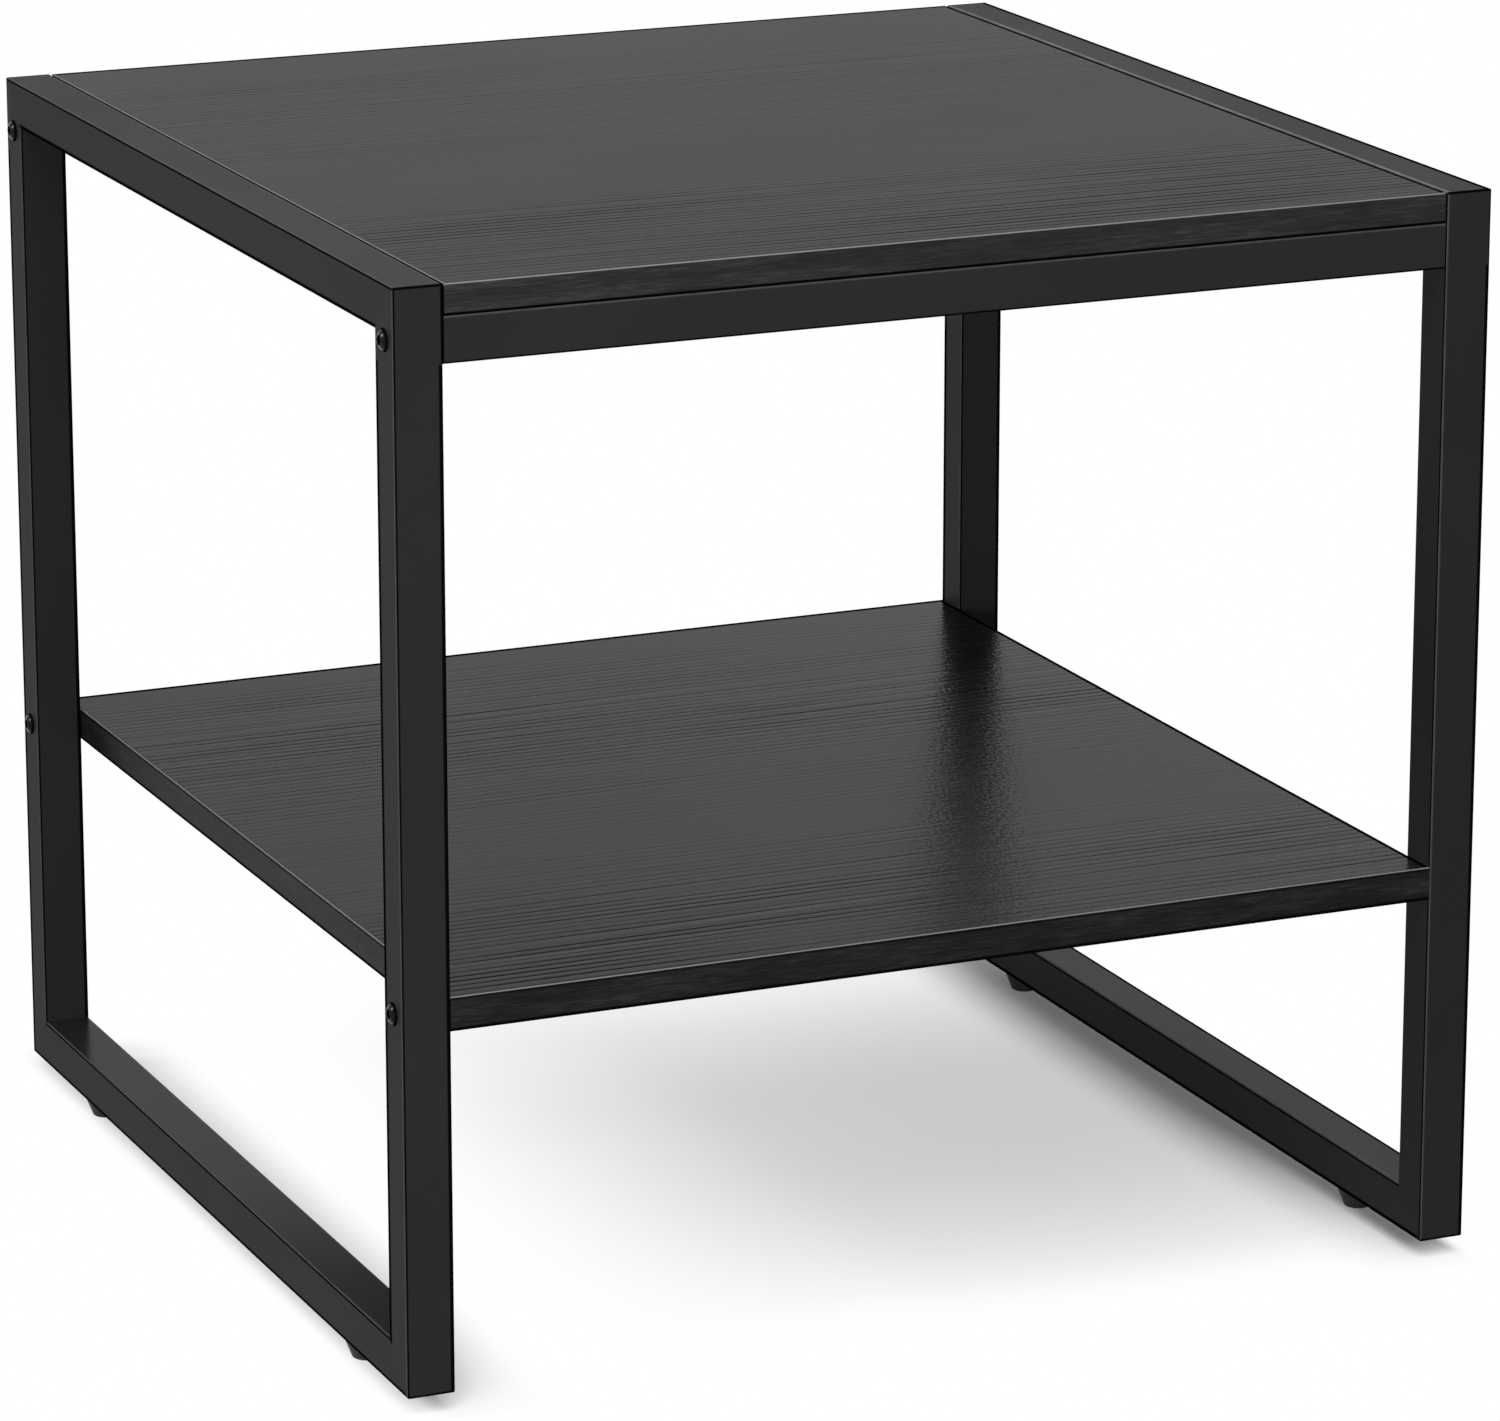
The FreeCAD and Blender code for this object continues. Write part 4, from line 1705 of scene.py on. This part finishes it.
@dataclass
class Studio:
    """A white floor that keeps the table's shadow, soft lights and a white surrounding.

    The floor looks white away from the table and shows its own shading near it. Each pool side has the place
    where the shading starts to show and the place where it shows in full. Each rail has the places where the
    shading beside it starts, is full, starts to fade and ends.
    """

    floor_size: float = 14.0
    floor_tone: float = 0.95
    bounce_tone: float = 0.20
    pool_share: float = 0.49
    pool_left: Tuple[float, float] = (-0.155, 0.045)
    pool_right: Tuple[float, float] = (0.262, 0.245)
    pool_front: Tuple[float, float] = (-0.25, -0.19)
    pool_rear: Tuple[float, float] = (0.35, 0.05)
    contact_share: float = 0.95
    right_rail: Tuple[float, float, float, float] = (0.190, 0.238, 0.247, 0.256)
    left_rail: Tuple[float, float, float, float] = (-0.172, -0.230, -0.2295, -0.2565)
    rail_front: Tuple[float, float] = (-0.270, -0.220)
    rail_rear: Tuple[float, float] = (0.285, 0.250)
    fill: float = 0.20
    lights: Tuple[SoftLight, ...] = (
        SoftLight("key light", (-0.8, -2.1, 3.2), 2.6, 114.0),
        SoftLight("front light", (-1.0, -1.9, 0.3), 0.5, 36.0),
        SoftLight("left light", (-2.6, 0.6, 1.6), 0.6, 35.0),
    )

    def build(self) -> None:
        """Sets up the floor, the lights and the surrounding."""
        self.lay_floor()
        for light in self.lights:
            light.build()
        self.surround()

    @staticmethod
    def seen(graph: Graph) -> Value:
        """Tells the rays that show the white background from those that light the table.

        Args:
            graph: The material of the floor or the surrounding.

        Returns:
            1 for the first kind, 0 for the second.
        """
        path = graph.node("ShaderNodeLightPath")
        rays = ("Is Camera Ray", "Is Glossy Ray", "Is Transmission Ray")
        camera, glossy, transmission = (Value(graph, path.outputs[name]) for name in rays)
        return camera.most(glossy).most(transmission)

    def lay_floor(self) -> None:
        """Lays the floor: white where nothing stands, with the shadow near the table."""
        half = self.floor_size / 2
        mesh = bpy.data.meshes.new("floor")
        corners = [(-half, -half, 0.0), (half, -half, 0.0), (half, half, 0.0), (-half, half, 0.0)]
        mesh.from_pydata(corners, [], [(0, 1, 2, 3)])
        floor = bpy.data.objects.new("floor", mesh)
        bpy.context.scene.collection.objects.link(floor)
        graph = SurfaceGraph("white floor")
        mesh.materials.append(graph.material)
        seen = self.seen(graph)
        inputs = {"Factor": seen, "A": grey(self.bounce_tone), "B": grey(self.floor_tone)}
        tone = graph.value("ShaderNodeMix", {"data_type": "RGBA"}, inputs, "Result")
        lit = graph.value("ShaderNodeBsdfDiffuse", inputs={"Color": tone})
        white = graph.value("ShaderNodeEmission", inputs={"Color": grey(1.0), "Strength": 1.0})
        factor = (1.0 - self.shade(graph)) * seen
        mixed = graph.value("ShaderNodeMixShader", inputs={0: factor, 1: lit, 2: white})
        graph.node("ShaderNodeOutputMaterial", inputs={"Surface": mixed})

    def contact(self, graph: SurfaceGraph) -> Value:
        """How close the floor lies to a bottom rail.

        Args:
            graph: The floor's material.

        Returns:
            0 away from both rails, rising to 1 below them.
        """
        rails = [
            graph.x.rising(start, full) * graph.x.rising(stop, last)
            for start, full, last, stop in (self.left_rail, self.right_rail)
        ]
        return (rails[0] + rails[1]) * graph.y.rising(*self.rail_front) * graph.y.rising(*self.rail_rear)

    def shade(self, graph: SurfaceGraph) -> Value:
        """How much of the floor's own shading shows.

        Args:
            graph: The floor's material.

        Returns:
            The share, highest beside the rails and under the right of the table, and 0 away from it.
        """
        across = graph.x.rising(*self.pool_left) * graph.x.rising(*self.pool_right)
        along = graph.y.rising(*self.pool_front) * graph.y.rising(*self.pool_rear)
        pool = across * along * self.pool_share
        return 1.0 - (1.0 - pool) * (1.0 - self.contact(graph) * self.contact_share)

    def surround(self) -> None:
        """Makes the surrounding white to look at and a soft fill to light with."""
        world = bpy.data.worlds.new("white surrounding")
        world.use_nodes = True
        world.node_tree.nodes.clear()
        graph = Graph(world.node_tree)
        strength = self.fill + self.seen(graph) * (1.0 - self.fill)
        light = graph.value("ShaderNodeBackground", inputs={"Color": grey(1.0), "Strength": strength})
        graph.node("ShaderNodeOutputWorld", inputs={"Surface": light})
        bpy.context.scene.world = world


@dataclass
class PhotoCamera:
    """The camera at the photograph's viewing angle."""

    location: Corner = (-1.21769, -2.81850, 1.07451)
    tilt: float = 74.35
    heading: float = -23.62
    lens: float = 168.884
    sensor_width: float = 36.0

    def build(self) -> None:
        """Sets up the camera and makes it the scene's own."""
        camera = bpy.data.cameras.new("photo camera")
        camera.sensor_width = self.sensor_width
        camera.lens = self.lens
        holder = bpy.data.objects.new("photo camera", camera)
        holder.location = self.location
        holder.rotation_euler = (math.radians(self.tilt), 0.0, math.radians(self.heading))
        bpy.context.scene.collection.objects.link(holder)
        bpy.context.scene.camera = holder


def main() -> None:
    """Builds the table's looks, the studio and the camera, and reports each piece."""
    logging.basicConfig(level=logging.INFO, format="%(name)s: %(message)s")
    lathe = SpinningLathe()
    top_foil = WoodGrainFoil(
        "wood grain top",
        box=Box.of("top_board"),
        border_right=0.0008,
        facet_lean=0.10,
        seed=3.0,
        specular=0.0160,
        roughness=0.30,
        calm=0.16,
        rear=0.25,
    )
    shelf_foil = WoodGrainFoil(
        "wood grain shelf",
        box=Box.of("shelf_board"),
        seed=11.0,
        specular=0.035,
        roughness=0.25,
        roughness_slope=0.15,
        calm=0.24,
        rear=0.80,
    )
    top = GrainedBoard(
        "top_board",
        "top_board",
        top_foil,
        strip_tones=(0.0115, 0.0305, 0.17),
        seam_width=0.0013,
        under_line=0.0,
        sides_hidden=True,
    )
    shelf = GrainedBoard(
        "shelf_board",
        "shelf",
        shelf_foil,
        # Darker strip tones than the top's: painted shade for the lower light that reaches the shelf.
        strip_tones=(0.0055, 0.0185, 0.14),
        seam_width=0.0022,
        under_line=0.7,
        sides_hidden=False,
    )
    assemblies = [
        SideFrame(Side.LEFT, front_gloss=0.037, rear_gloss=0.037),
        SideFrame(Side.RIGHT, front_gloss=0.027, rear_gloss=0.050),
        Crossbars(),
        top,
        shelf,
        LegBolts(lathe, "crossbar_bolts", "rear_crossbar", length=0.031, thread_length=0.014),
        LegBolts(lathe, "shelf_bolts", "left_rear_leg", length=0.058, thread_length=0.020),
        BoardScrews(lathe),
        *(LevellingFoot(lathe, side, end) for side, end in CORNERS),
        InnerHardware(),
    ]
    for assembly in assemblies:
        for piece in assembly.build():
            log.info("%s: %s with %d faces", type(assembly).__name__, piece.name, len(piece.data.polygons))
    Studio().build()
    PhotoCamera().build()
    bpy.context.scene.view_settings.view_transform = "Standard"


if __name__ == "__main__":
    main()
